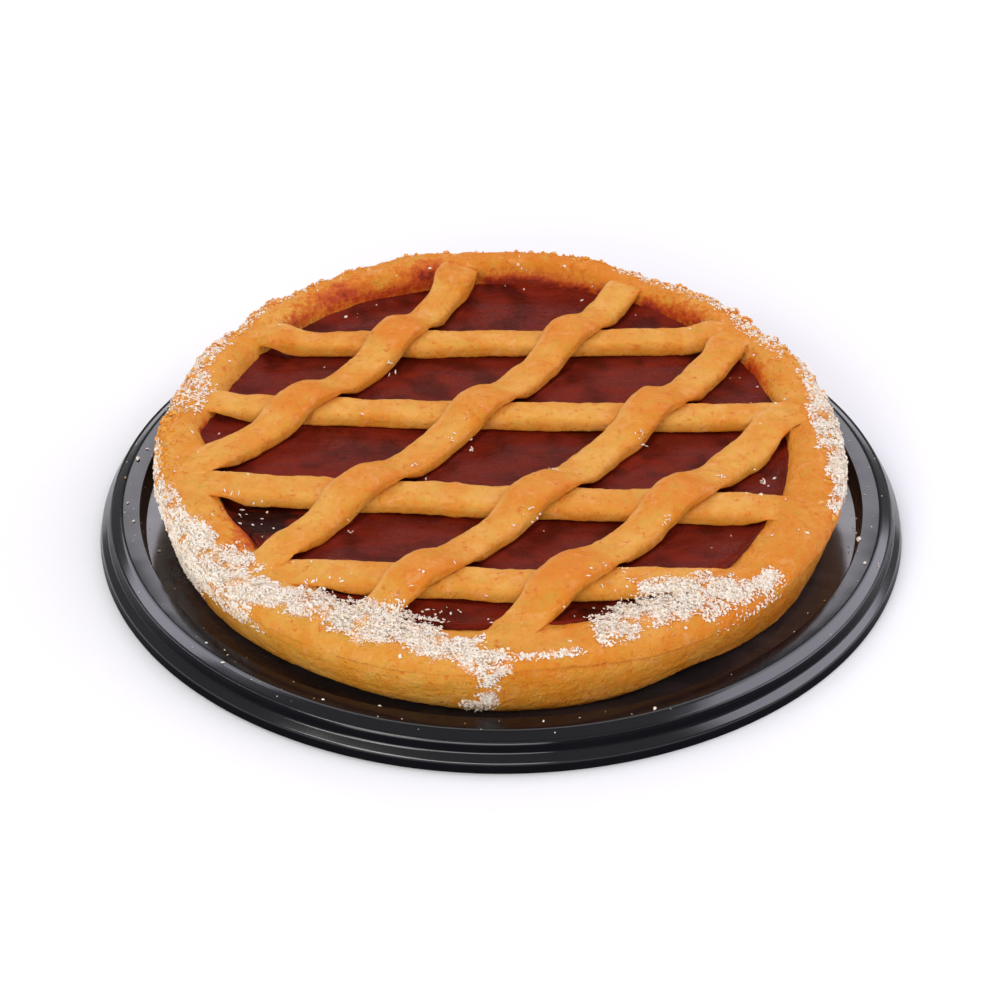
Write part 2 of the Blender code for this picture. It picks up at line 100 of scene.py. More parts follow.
# Painted shadow on the jam in a few openings at the front: place in plan, spread, share.
JAM_SHADES = ((-0.0880, -0.0400, 0.017, 1.0), (-0.0550, -0.0830, 0.007, 0.7), (0.0310, -0.0940, 0.008, 0.6))

# Where the seam lies higher: bearing, spread, height.
SEAM_RISES = ((-84.0, 15.0, 0.0036),)
# Where the foot of the wall stands off the tray: bearing, spread, height.
FOOT_LIFTS = ((-57.0, 11.0, 0.0036), (-118.0, 14.0, 0.0018), (-20.0, 8.0, 0.0008))

# Banks of grated coconut on the rim and the ribbon ends: bearing, spread, share across the rim,
# its spread, how many shreds, height of the heap.
RIM_BANKS = (
    (-170.0, 7.0, 0.96, 0.06, 260, 0.0004),
    (-158.0, 6.0, 0.88, 0.10, 460, 0.0006),
    (-148.5, 5.0, 0.78, 0.16, 700, 0.0010),
    (-143.0, 3.0, 0.62, 0.26, 480, 0.0011),
    (-138.0, 3.5, 0.75, 0.18, 430, 0.0009),
    (-131.0, 4.0, 0.62, 0.16, 540, 0.0010),
    (-123.0, 4.0, 0.40, 0.22, 620, 0.0011),
    (-115.0, 4.0, 0.36, 0.28, 880, 0.0013),
    (-107.0, 4.0, 0.34, 0.28, 880, 0.0013),
    (-100.0, 3.0, 0.58, 0.18, 460, 0.0010),
    (-95.0, 2.0, 0.62, 0.20, 260, 0.0008),
    (-92.0, 1.8, 0.88, 0.12, 170, 0.0006),
    (-85.0, 3.0, 0.84, 0.05, 70, 0.0004),
    (-79.0, 2.0, 0.84, 0.05, 34, 0.0003),
    (-70.5, 2.2, 0.42, 0.26, 430, 0.0011),
    (-65.0, 3.0, 0.30, 0.28, 600, 0.0012),
    (-58.0, 3.0, 0.28, 0.30, 780, 0.0014),
    (-51.0, 3.0, 0.42, 0.32, 680, 0.0013),
    (-46.0, 2.0, 0.62, 0.20, 240, 0.0008),
    (-41.0, 2.5, 0.78, 0.12, 170, 0.0006),
    (-12.0, 4.0, 0.92, 0.07, 200, 0.0004),
    (-5.0, 4.0, 0.86, 0.12, 420, 0.0007),
    (5.0, 5.0, 0.76, 0.18, 600, 0.0008),
    (14.0, 5.0, 0.84, 0.13, 440, 0.0007),
    (22.0, 3.0, 0.93, 0.06, 110, 0.0004),
    (33.0, 4.5, 0.72, 0.20, 220, 0.0006),
    (43.0, 5.0, 0.80, 0.16, 130, 0.0005),
    (54.0, 6.0, 0.74, 0.18, 170, 0.0006),
    (64.0, 3.0, 0.74, 0.12, 70, 0.0004),
    (119.0, 7.0, 0.90, 0.10, 60, 0.0004),
    (133.0, 6.0, 0.86, 0.12, 110, 0.0005),
    (144.0, 4.0, 0.84, 0.14, 130, 0.0006),
    (154.0, 4.0, 0.80, 0.18, 280, 0.0009),
    (165.0, 4.5, 0.62, 0.26, 340, 0.0009),
)
# The same on the side, with the share of the height from the foot to the seam. It goes on above 1
# over the outer side of the rim.
WALL_BANKS = (
    (-180.0, 3.0, 0.60, 0.36, 220, 0.0004),
    (-172.0, 5.0, 0.66, 0.42, 860, 0.0006),
    (-163.0, 5.0, 0.66, 0.42, 900, 0.0006),
    (-155.0, 4.0, 0.76, 0.36, 720, 0.0006),
    (-147.0, 4.0, 0.94, 0.26, 560, 0.0006),
    (-140.0, 3.5, 0.96, 0.22, 380, 0.0005),
    (-134.5, 2.5, 0.98, 0.18, 90, 0.0004),
    (-92.0, 1.3, 0.62, 0.32, 230, 0.0006),
    (-94.0, 1.6, 0.22, 0.10, 60, 0.0004),
    (-90.5, 1.6, 1.05, 0.14, 110, 0.0006),
    (-46.0, 5.0, 1.12, 0.08, 70, 0.0003),
    (-6.0, 4.0, 1.10, 0.16, 200, 0.0005),
    (4.0, 5.0, 1.02, 0.20, 330, 0.0005),
    (15.0, 5.0, 1.02, 0.18, 240, 0.0004),
)
# Shreds that fell on the jam and on the ribbons: place in plan, spread, how many.
SPRINKLES = (
    (-0.062, -0.085, 0.005, 14),
    (-0.020, -0.094, 0.007, 22),
    (0.040, -0.088, 0.007, 30),
    (-0.070, 0.064, 0.001, 1),
    (-0.052, 0.022, 0.001, 1),
    (-0.084, -0.038, 0.006, 7),
    (-0.094, -0.035, 0.003, 9),
    (0.097, -0.016, 0.0014, 10),
    (-0.0131, 0.0145, 0.0010, 5),
    (-0.0105, 0.0068, 0.0012, 5),
    (-0.0190, 0.0064, 0.0020, 5),
    (-0.0305, -0.0135, 0.0016, 5),
    (0.0096, -0.0459, 0.0010, 5),
    (0.0147, -0.0461, 0.0012, 4),
    (0.0025, -0.0509, 0.0014, 4),
    (0.0197, -0.0193, 0.0010, 4),
    (0.0278, -0.0198, 0.0012, 4),
    (0.0524, 0.0060, 0.0012, 7),
    (0.0807, -0.0211, 0.0012, 5),
    (0.0593, -0.0511, 0.0012, 6),
    (-0.0428, 0.0581, 0.0010, 5),
    (-0.0544, -0.0460, 0.0007, 4),
)
# Larger specks on the tray: bearing and radius from the tray's axis, length.
TRAY_SPECKS = (
    (171.0, 0.1396, 0.0026), (-177.0, 0.1392, 0.0014), (-172.0, 0.1370, 0.0016), (-168.0, 0.1290, 0.0014),
    (168.0, 0.1380, 0.0014), (-7.0, 0.1330, 0.0016), (-3.0, 0.1330, 0.0013), (-13.0, 0.1345, 0.0030),
    (-19.0, 0.1395, 0.0017), (-36.0, 0.1305, 0.0020), (-40.0, 0.1310, 0.0019), (-50.0, 0.1330, 0.0016),
    (-68.0, 0.1400, 0.0018), (-84.0, 0.1375, 0.0014), (-79.0, 0.1335, 0.0012), (-108.0, 0.1345, 0.0015),
    (-116.0, 0.1390, 0.0014), (-133.0, 0.1420, 0.0017), (-138.0, 0.1390, 0.0013), (-150.0, 0.1340, 0.0013),
    (-97.0, 0.1330, 0.0012), (-28.0, 0.1330, 0.0013), (-60.0, 0.1320, 0.0012), (-158.0, 0.1335, 0.0012),
)
# Powers of the superellipse that the rim's section follows on its inner and on its outer side.
INNER_POWER, OUTER_POWER = 2.2, 3.1
# How far the tray's shoulder falls from its flange.
SHOULDER_DROP = 0.0019
# Height of the lattice's level parts over the jam, and of a hump over them.
LATTICE_LEVEL, HUMP_RISE = 0.0061, 0.0049
# Stations along a ribbon where only its rough place is wanted.
COARSE_STATIONS = 120
# Share of the drawn coconut that is kept, and the shreds for a degree and a share of 1 that cover the
# dough whole.
KEPT_SHARE = 0.6
FULL_COVER = 800.0
# The dough's colours and masks: the input of its shader group, and the setting or attribute for it.
DOUGH_COLOURS = {
    "Pale": "pale", "Golden": "golden", "Brown": "brown", "Toasted": "toasted", "Rosy": "rosy",
    "Olive": "olive", "Syrup": "syrup", "Jam": "stain", "Thick jam": "jam_bright", "Coconut": "coconut",
}
# The browning mask also carries painted shade and painted light, and the mask of floured patches a rosy
# painted highlight on the ribbons' back edges.
DOUGH_MASKS = {"Bake": "bake", "Stain": "stain", "Flour": "flour", "Dust": "dust"}


# ---------------------------------------------------------------- sizes and colours a user changes


def length(name, description, default):
    """A length property in metres."""
    return FloatProperty(
        name=name, description=description, default=default, unit="LENGTH", subtype="DISTANCE", precision=5
    )


def number(name, description, default, **limits):
    """A property that holds a plain number."""
    return FloatProperty(name=name, description=description, default=default, **limits)


def colour(name, description, default):
    """A linear colour property."""
    return FloatVectorProperty(
        name=name, description=description, default=default, size=3, min=0.0, max=1.0, subtype="COLOR"
    )


class TraySizes(PropertyGroup):
    radius: length("Radius", "Outer radius of the foot", 0.150)
    sheet: length("Sheet", "Thickness of the moulded sheet", 0.0009)
    floor_z: length("Floor height", "Height of the floor above the table", 0.004)
    flange_z: length("Flange height", "Height of the raised flange", 0.012)
    floor_radius: length("Floor radius", "Where the recess wall begins", 0.1329)
    flange_inner: length("Flange inner radius", "Top of the recess wall", 0.1346)
    flange_outer: length("Flange outer radius", "Where the shoulder begins", 0.1412)
    lip_inner: length("Lip inner radius", "Foot of the shoulder", 0.1448)
    lip_outer: length("Lip outer radius", "Top edge of the skirt", 0.1463)
    ledge_z: length("Ledge height", "Height of the lower step", 0.0042)
    ledge_outer: length("Ledge radius", "Outer edge of the lower step", 0.1493)


class TartSizes(PropertyGroup):
    centre: FloatVectorProperty(
        name="Centre", description="Middle of the tart in plan", size=2, default=(-0.0004, 0.0035),
        unit="LENGTH", subtype="XYZ", precision=5,
    )
    oval: number("Oval", "Length in Y over length in X", 1.03)
    foot_z: length("Foot height", "Underside of the case", 0.0044)
    base_radius: length("Base radius", "Radius of the foot", 0.123)
    wall_top_radius: length("Wall top radius", "Radius of the wall at the seam", 0.127)
    rim_outer: length("Rim outer radius", "Mean outer radius of the rim", 0.1288)
    rim_inner: length("Rim inner radius", "Mean inner radius of the rim", 0.1105)
    rim_inner_shift: length("Rim inner shift", "How far the opening lies off centre", 0.0062)
    rim_inner_towards: number("Shift bearing", "Bearing of that shift, in degrees", 95.0)
    rim_pinch: length("Rim pinch", "How much the opening is drawn in at two opposite sides", 0.0036)
    rim_pinch_towards: number("Pinch bearing", "Bearing of one of them, in degrees", 8.0)
    seam_z: length("Seam height", "Where the rim is laid on the wall", 0.0246)
    crest_z: length("Crest height", "Mean height of the rim's crest", 0.0336)
    back_rise: length("Back rise", "How much higher the back of the rim stands", 0.0038)
    press_depth: length("Press depth", "How deep a ribbon end presses the rim", 0.002)
    press_half_width: length("Press half width", "Half width of such a dent", 0.010)
    well_z: length("Well floor", "Height of the case's inner floor", 0.010)
    jam_z: length("Jam height", "Level of the filling", 0.027)


class CoconutLook(PropertyGroup):
    shred: length("Shred", "Mean length of a shred", 0.0014)
    shred_width: length("Shred width", "Mean width of a shred", 0.00052)
    grain: length("Grain", "Mean length of a grain", 0.0010)
    shreds: number("Shreds", "Shreds laid for each one that a bank counts", 0.50, min=0.0)
    grains: number("Grains", "Grains laid for each shred that a bank counts", 1.10, min=0.0)
    strays: IntProperty(
        name="Strays", description="Single grains on the rim and the lattice", default=130, min=0
    )
    seed: IntProperty(name="Seed", description="Seed of the random draws", default=7)


class BakeColours(PropertyGroup):
    pale: colour("Pale dough", "Least baked dough", (0.80, 0.385, 0.062))
    golden: colour("Golden dough", "Well baked dough", (0.76, 0.295, 0.026))
    # Brown also paints shade: on the ribbons' front edges, in the crease below the rim and at the foot.
    brown: colour("Brown dough", "Humps, edges and side wall", (0.74, 0.215, 0.009))
    toasted: colour("Toasted", "Dark freckles in the dough", (0.26, 0.080, 0.014))
    # Rosy also paints the highlight on the ribbons' back edges.
    rosy: colour("Rosy dough", "Floured edges and patches", (0.86, 0.42, 0.15))
    olive: colour("Olive dough", "Greenish yellow patches", (0.62, 0.35, 0.040))
    syrup: colour("Syrup", "Dough soaked with a little jam", (0.66, 0.150, 0.010))
    stain: colour("Jam stain", "Boiled jam on dough", (0.50, 0.055, 0.006))
    jam: colour("Jam", "Set quince jam", (0.142, 0.0112, 0.0034))
    jam_bright: colour("Bright jam", "Thin or raised jam", (0.25, 0.020, 0.0045))
    jam_streak: colour("Jam streak", "Cooler streaks in the jam", (0.108, 0.0135, 0.015))
    coconut: colour("Coconut", "Dry grated coconut", (0.97, 0.90, 0.80))
    coconut_cream: colour("Creamy coconut", "Creamier shreds", (0.94, 0.77, 0.55))
    tray: colour("Tray", "Black plastic", (0.003, 0.003, 0.005))
    # Painted reflection: a brown for the tart's wall mirrored in the tray's recess.
    tray_haze: colour("Tray haze", "Greasy film in the tray's recess", (0.052, 0.038, 0.036))


class StudioSetup(PropertyGroup):
    distance: length("Camera distance", "From the tray's middle", 1.2)
    pitch: number("Pitch", "Camera height as an angle, in degrees", 35.2)
    lens: number("Lens", "Focal length, mm", 114.74)
    shift_x: number("Shift X", "Lens shift across the frame", -0.0011)
    shift_y: number("Shift Y", "Lens shift up the frame", 0.0183)
    ambient: number("Ambient", "Strength of the even light", 0.20)
    overhead: number("Overhead", "Radiance of the panel overhead", 1.7)
    back: number("Back", "Radiance of the low panel behind", 4.5)
    left: number("Left", "Radiance of the panel on the left", 2.7)
    right: number("Right", "Radiance of the panel on the right", 2.35)
    front: number("Front", "Radiance of the panel behind the camera", 5.0)
    key: number("Key", "Radiance of the warmer panel at the front left", 6.1)


# ---------------------------------------------------------------- noise, worked out as arrays


def cell_value(cells, seed):
    """A repeatable number from -1 to 1 for each whole-number cell: the three coordinates are
    multiplied by large numbers and mixed by exclusive or, then stirred by two more products of the
    kind, and the low 16 bits are kept."""
    cells = cells.astype(np.uint32)
    mixed = cells[..., 0] * np.uint32(73856093)
    mixed ^= cells[..., 1] * np.uint32(19349663)
    mixed ^= cells[..., 2] * np.uint32(83492791)
    mixed ^= np.uint32((seed * 2654435761) % 2**32)
    mixed = (mixed ^ (mixed >> np.uint32(15))) * np.uint32(2246822519)
    mixed = (mixed ^ (mixed >> np.uint32(13))) * np.uint32(3266489917)
    mixed ^= mixed >> np.uint32(16)
    return (mixed & np.uint32(0xFFFF)).astype(float) / 32767.5 - 1.0


def noise(points, cell, seed):
    """Value noise: random numbers on a cubic grid of the given cell, blended between the eight
    corners by the smooth step 3t^2 - 2t^3 of the place t within the cell."""
    place = points / cell
    low = np.floor(place)
    t = ease(place - low)
    low = low.astype(np.int64)
    total = np.zeros(points.shape[:-1])
    for corner in range(8):
        step = np.array([corner & 1, (corner >> 1) & 1, corner >> 2])
        weight = np.prod(np.where(step == 1, t, 1.0 - t), axis=-1)
        total += weight * cell_value(low + step, seed)
    return total


def fractal(points, cell, octaves, seed):
    """Octaves of value noise, each half as wide and half as high as the one before, summed and
    divided by the sum of their heights."""
    total = np.zeros(points.shape[:-1])
    reach = 0.0
    for k in range(octaves):
        total += noise(points, cell / 2**k, seed + k) / 2**k
        reach += 1.0 / 2**k
    return total / reach


def bump_at(angle, centre, spread):
    """A bell over bearings: exp(-(turn / spread)^2) of the shortest turn from the centre, degrees."""
    turn = np.degrees(np.angle(np.exp(1j * (angle - math.radians(centre)))))
    return np.exp(-((turn / spread) ** 2))


def bells(angle, table):
    """Sum of amount times bell over the table's rows of bearing, spread and amount."""
    return sum(amount * bump_at(angle, bearing, spread) for bearing, spread, amount in table)


def ease(value):
    """The smooth step 3t^2 - 2t^3 of the value held between 0 and 1."""
    t = np.clip(value, 0.0, 1.0)
    return t * t * (3.0 - 2.0 * t)


# ---------------------------------------------------------------- meshes from arrays


def bearings(columns):
    """Evenly spaced bearings round a full turn, as one row."""
    return np.arange(columns)[None, :] * (math.tau / columns)


def points_from(x, y, z):
    """Points from three arrays of coordinates, each carried over the others' rows and columns."""
    return np.stack(np.broadcast_arrays(x, y, z), axis=-1)


def mesh_points(mesh):
    """The points of a mesh as an array."""
    points = np.zeros(len(mesh.vertices) * 3, np.float32)
    mesh.vertices.foreach_get("co", points)
    return points.reshape(-1, 3).astype(float)


def ring_quads(rows, columns, closed):
    """Vertex numbers of the quads between neighbouring rings, each ring joined to itself. A closed
    set of rings also joins the last ring to the first."""
    spans = rows if closed else rows - 1
    i = np.arange(spans)[:, None]
    j = np.arange(columns)[None, :]
    here, there = i * columns, ((i + 1) % rows) * columns
    after = (j + 1) % columns
    quads = np.stack([here + j, here + after, there + after, there + j], axis=-1)
    return quads.reshape(-1, 4)


def signed_volume(points, triangles):
    """A sixth of the sum over the triangles of a . (b x c)."""
    a, b, c = (points[triangles[:, k]] for k in range(3))
    return float(np.einsum("ij,ij->i", a, np.cross(b, c)).sum() / 6.0)


def write_mesh(name, points, quads, triangles, attributes):
    """A mesh from arrays of points, quads and triangles. Both lists of faces are turned round if
    the volume that they enclose comes out negative, so the faces point outwards."""
    halves = np.concatenate([quads[:, :3], quads[:, [0, 2, 3]], triangles])
    if signed_volume(points, halves) < 0.0:
        quads, triangles = quads[:, ::-1], triangles[:, ::-1]
    corners = np.concatenate([quads.ravel(), triangles.ravel()]).astype(np.int32)
    starts = np.concatenate([np.arange(len(quads)) * 4, len(quads) * 4 + np.arange(len(triangles)) * 3])
    mesh = bpy.data.meshes.new(name)
    mesh.vertices.add(len(points))
    mesh.vertices.foreach_set("co", points.astype(np.float32).ravel())
    mesh.loops.add(len(corners))
    mesh.loops.foreach_set("vertex_index", corners)
    mesh.polygons.add(len(starts))
    mesh.polygons.foreach_set("loop_start", starts.astype(np.int32))
    mesh.update(calc_edges=True)
    if mesh.validate():
        raise RuntimeError(f"{name}: the mesh had faces that Blender could not use")
    for key, values in attributes.items():
        layer = mesh.attributes.new(key, "FLOAT", "POINT")
        layer.data.foreach_set("value", np.asarray(values, np.float32).ravel())
    mesh.shade_smooth()
    return mesh


def add_piece(name, mesh, material, slot, *nodes):
    """Puts a finished mesh into the scene as a piece that rides on the body and stands for nodes."""
    mesh.materials.append(material)
    piece = bpy.data.objects.new(name, mesh)
    bpy.context.scene.collection.objects.link(piece)
    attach(piece, BODY)
    if nodes:
        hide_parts(*nodes)


def tube_mesh(name, rings, closed=False, **attributes):
    """A closed surface from rings[i, j], point j of ring i. Neighbouring rings are joined by quads.
    The first and last ring of an open tube are closed by a fan round the mean of their points."""
    rows, columns = rings.shape[:2]
    points = rings.reshape(-1, 3)
    quads = ring_quads(rows, columns, closed)
    values = {key: np.broadcast_to(value, (rows, columns)).ravel() for key, value in attributes.items()}
    triangles = np.zeros((0, 3), int)
    if not closed:
        j = np.arange(columns)
        after = (j + 1) % columns
        last = (rows - 1) * columns
        first_fan = np.stack([np.full(columns, rows * columns), after, j], axis=1)
        last_fan = np.stack([np.full(columns, rows * columns + 1), last + j, last + after], axis=1)
        triangles = np.concatenate([first_fan, last_fan])
        points = np.concatenate([points, [rings[0].mean(axis=0), rings[-1].mean(axis=0)]])
        values = {
            key: np.concatenate([value, [value[:columns].mean(), value[-columns:].mean()]])
            for key, value in values.items()
        }
    return write_mesh(name, points, quads, triangles, values)


def ring_normals(rings, closed, upward):
    """Unit normals of the rings' surface: the cross product of the differences along a ring and from
    ring to ring. All are turned round together if those of the upward points look down."""
    around = np.roll(rings, -1, axis=1) - np.roll(rings, 1, axis=1)
    if closed:
        across = np.roll(rings, -1, axis=0) - np.roll(rings, 1, axis=0)
    else:
        across = np.gradient(rings, axis=0)
    normals = np.cross(around, across)
    normals /= np.maximum(np.linalg.norm(normals, axis=-1, keepdims=True), 1e-12)
    return normals * np.sign(np.mean(normals[upward][..., 2]))


def add_bits(name, shape, centres, axes, tone, material, slot):
    """Many copies of one small shape as one flat-shaded piece: each copy's points are its centre plus
    the shape's coordinates times the copy's own three axis vectors. Each copy has its own tone."""
    corners, triangles = shape
    count = len(corners)
    points = (centres[:, None, :] + np.einsum("vk,nkc->nvc", corners, axes)).reshape(-1, 3)
    faces = (triangles[None] + (np.arange(len(centres)) * count)[:, None, None]).reshape(-1, 3)
    mesh = write_mesh(name, points, np.zeros((0, 4), int), faces, {"tone": np.repeat(tone, count)})
    mesh.shade_flat()
    add_piece(name, mesh, material, slot)


# ---------------------------------------------------------------- form of the case


def waves(theta, table):
    """Sum of height times sin(count * theta + phase) over the table."""
    return sum(height * np.sin(count * theta + phase) for height, count, phase in table)


def plan_point(theta, radius):
    """Plan place of a bearing in radians and a radius, in the tart's own oval round its centre."""
    sizes = bpy.context.scene.tart_sizes
    return sizes.centre[0] + radius * np.cos(theta), sizes.centre[1] + sizes.oval * radius * np.sin(theta)


def plan_radius(x, y):
    """Bearing in radians and radius of a plan place, the reverse of plan_point."""
    sizes = bpy.context.scene.tart_sizes
    u, v = x - sizes.centre[0], (y - sizes.centre[1]) / sizes.oval
    return np.arctan2(v, u), np.hypot(u, v)


def rim_edges(theta):
    """Inner and outer radius of the rim: mean radius, plus the opening's shift, less its pinch, plus
    its bays and waves. The pinch is a squared cosine, so it draws in two opposite sides."""
    sizes = bpy.context.scene.tart_sizes
    shift = sizes.rim_inner_shift * np.cos(theta - math.radians(sizes.rim_inner_towards))
    pinch = sizes.rim_pinch * np.cos(theta - math.radians(sizes.rim_pinch_towards)) ** 2
    inner = sizes.rim_inner + shift - pinch + bells(theta, RIM_BAYS) - 0.6 * waves(theta, CREST_WAVES)
    return inner, sizes.rim_outer + waves(theta, OUTLINE_WAVES)


def seam_height(theta):
    """Height of the seam, which rises half as much towards the back as the crest does, and lies up to
    3.6 mm higher at the front."""
    sizes = bpy.context.scene.tart_sizes
    return sizes.seam_z + 0.5 * sizes.back_rise * np.sin(theta) + bells(theta, SEAM_RISES)


def crest_height(theta):
    """Height of the rim's crest without its waves and dents: it rises towards the back."""
    sizes = bpy.context.scene.tart_sizes
    return sizes.crest_z + sizes.back_rise * np.sin(theta)


def ribbon_press(theta):
    """Depth of the dents under the ribbon ends: the largest of their bells."""
    sizes = bpy.context.scene.tart_sizes
    spread = math.degrees(sizes.press_half_width / sizes.rim_inner)
    dents = [bump_at(theta, bearing, spread) for bearing in PRESSED_BEARINGS]
    return sizes.press_depth * np.max(dents, axis=0)


def rim_height(theta, radius):
    """Height of the rim's top: seam plus the way up to the crest times (1 - across^p)^(1/p), a
    superellipse of the place across the rim, with a lower p and so a rounder shoulder on the inner
    side."""
    inner, outer = rim_edges(theta)
    across = np.clip((radius - 0.5 * (inner + outer)) / (0.5 * (outer - inner)), -1.0, 1.0)
    power = np.where(across < 0.0, INNER_POWER, OUTER_POWER)
    base = seam_height(theta)
    crest = crest_height(theta) + waves(theta, CREST_WAVES) - ribbon_press(theta)
    return base + (crest - base) * (1.0 - np.abs(across) ** power) ** (1.0 / power)


def wall_radius(theta, share):
    """Outer radius of the side wall at a share of its height: a profile through five places plus
    the outline's waves, which fade towards the foot."""
    sizes = bpy.context.scene.tart_sizes
    shares = (0.0, 0.08, 0.40, 0.75, 1.0)
    radii = (
        sizes.base_radius - 0.0014,
        sizes.base_radius,
        sizes.base_radius + 0.0019,
        sizes.wall_top_radius - 0.0006,
        sizes.wall_top_radius,
    )
    return np.interp(share, shares, radii) + share * waves(theta, OUTLINE_WAVES)


def side_radius(theta, share):
    """Outer radius of the case at a share of the height from foot to seam. Up to 1 it is that of the
    wall. Above it follows the rim's outer side, middle + half (1 - h^p)^(1/p), where h is the share
    of the way from the seam to the crest."""
    sizes = bpy.context.scene.tart_sizes
    inner, outer = rim_edges(theta)
    base = seam_height(theta)
    h = np.clip((share - 1.0) * (base - sizes.foot_z) / (crest_height(theta) - base), 0.0, 0.97)
    bulge = (1.0 - h**OUTER_POWER) ** (1.0 / OUTER_POWER)
    side = 0.5 * (inner + outer) + 0.5 * (outer - inner) * bulge
    return np.where(share < 1.0, wall_radius(theta, share), side)


def soft_max(first, second, reach):
    """The larger of two heights, with the corner where they cross rounded off over a reach:
    max + reach / 4 * h^2, h falling from 1 where they are equal to 0 where they are a reach apart."""
    h = np.clip(1.0 - np.abs(first - second) / reach, 0.0, 1.0)
    return np.maximum(first, second) + 0.25 * reach * h * h


def bank_cover(theta, share, banks):
    """How thickly coconut lies, 0 to 1: each bank adds a bell over bearing and share, as high as
    its shreds lie dense, with the bank's two spreads as the bell's standard deviations."""
    total = 0.0
    for bearing, spread, middle, width, count, _ in banks:
        across = np.exp(-0.5 * ((share - middle) / width) ** 2)
        density = count / (spread * width) / FULL_COVER
        total = total + density * bump_at(theta, bearing, 1.414 * spread) * across
    return np.clip(total, 0.0, 1.0)


def rim_cover(x, y):
    """The same for plan places, whether they lie on the rim, on a ribbon or on the jam."""
    theta, radius = plan_radius(x, y)
    inner, outer = rim_edges(theta)
    return bank_cover(theta, (radius - inner) / (outer - inner), RIM_BANKS)


def crust_bake(points):
    """Browning of rim and ribbon ends, the same for both where they meet. Its stretches also paint
    shade at the front and light at the front left.
    """
    theta, _ = plan_radius(points[..., 0], points[..., 1])
    return 0.30 + 0.34 * fractal(points, 0.018, 3, 41) + bells(theta, BROWN_STRETCHES)


def patchiness(places):
    """How thick the coconut's banks lie at a place, by noise in clumps 4 mm wide: 1 + 1.7 noise."""
    return 1.0 + 1.7 * fractal(places, 0.0042, 2, 301)


def dusting(cover, places):
    """Share of coconut dust in the dough's colour: the banks' cover, uneven where they are clumped."""
    return cover * np.clip(patchiness(places), 0.5, 1.2)


def crumbliness(theta):
    """How rough the outer edge is at a bearing, 0 to 1."""
    return np.clip(bells(theta, CRUMBLY_STRETCHES), 0.0, 1.0)


# ---------------------------------------------------------------- shader node groups


def rgba(value):
    """A colour with an alpha of 1. A socket stays as it is."""
    return value if isinstance(value, bpy.types.NodeSocket) else (*value, 1.0)


def set_inputs(tree, node, inputs):
    """Sets a node's inputs: a socket is linked, anything else is a value."""
    for key, value in inputs.items():
        if isinstance(value, bpy.types.NodeSocket):
            tree.links.new(value, node.inputs[key])
        else:
            node.inputs[key].default_value = value


def add_node(tree, kind, inputs, **settings):
    """A node with its settings made and its inputs set."""
    made = tree.nodes.new(kind)
    for key, value in settings.items():
        setattr(made, key, value)
    set_inputs(tree, made, inputs)
    return made


def math_node(tree, operation, *values, clamp=False):
    """The output of a Math node."""
    inputs = dict(enumerate(values))
    return add_node(tree, "ShaderNodeMath", inputs, operation=operation, use_clamp=clamp).outputs[0]


def times(tree, first, second):
    """The product of two values."""
    return math_node(tree, "MULTIPLY", first, second)


def plus(tree, first, second, clamp=False):
    """The sum of two values, held between 0 and 1 where clamp is set."""
    return math_node(tree, "ADD", first, second, clamp=clamp)


def ramp_node(tree, value, low, high):
    """The value stretched from low..high to 0..1, held there and eased."""
    inputs = {"Value": value, "From Min": low, "From Max": high}
    made = add_node(tree, "ShaderNodeMapRange", inputs, interpolation_type="SMOOTHSTEP")
    return made.outputs["Result"]


def mix_colours(tree, share, first, second):
    """The output of a colour mix. The colours are sockets or (r, g, b)."""
    inputs = {0: share, 6: rgba(first), 7: rgba(second)}
    return add_node(tree, "ShaderNodeMix", inputs, data_type="RGBA").outputs[2]


def noise_node(tree, place, scale, detail=3.0, roughness=0.55, distortion=0.0):
    """The factor of a Noise texture at a place, scale in cells a metre."""
    inputs = {
        "Vector": place,
        "Scale": scale,
        "Detail": detail,
        "Roughness": roughness,
        "Distortion": distortion,
    }
    return add_node(tree, "ShaderNodeTexNoise", inputs).outputs["Fac"]


def centred(tree, value, height):
    """A noise factor moved to lie round zero and scaled: (value - 0.5) * height."""
    return times(tree, math_node(tree, "SUBTRACT", value, 0.5), height)


def bump_node(tree, height, depth):
    """The normal that a height gives, through a Bump node of the given depth in metres."""
    return add_node(tree, "ShaderNodeBump", {"Height": height, "Distance": depth}).outputs["Normal"]


def attribute(tree, name):
    """The value of one of the piece's own attributes."""
    return add_node(tree, "ShaderNodeAttribute", {}, attribute_name=name).outputs["Fac"]


def new_group(name, inputs, outputs):
    """A shader node group, whose inputs come as (name, kind, default) after a Place, and its outputs
    as (name, kind). Returns the tree, the sockets that it is given and its end node."""
    tree = bpy.data.node_groups.new(name, "ShaderNodeTree")
    for label, kind, default in (("Place", "Vector", (0.0, 0.0, 0.0)), *inputs):
        socket = tree.interface.new_socket(label, in_out="INPUT", socket_type="NodeSocket" + kind)
        socket.default_value = default
    for label, kind in outputs:
        tree.interface.new_socket(label, in_out="OUTPUT", socket_type="NodeSocket" + kind)
    return tree, tree.nodes.new("NodeGroupInput").outputs, tree.nodes.new("NodeGroupOutput")


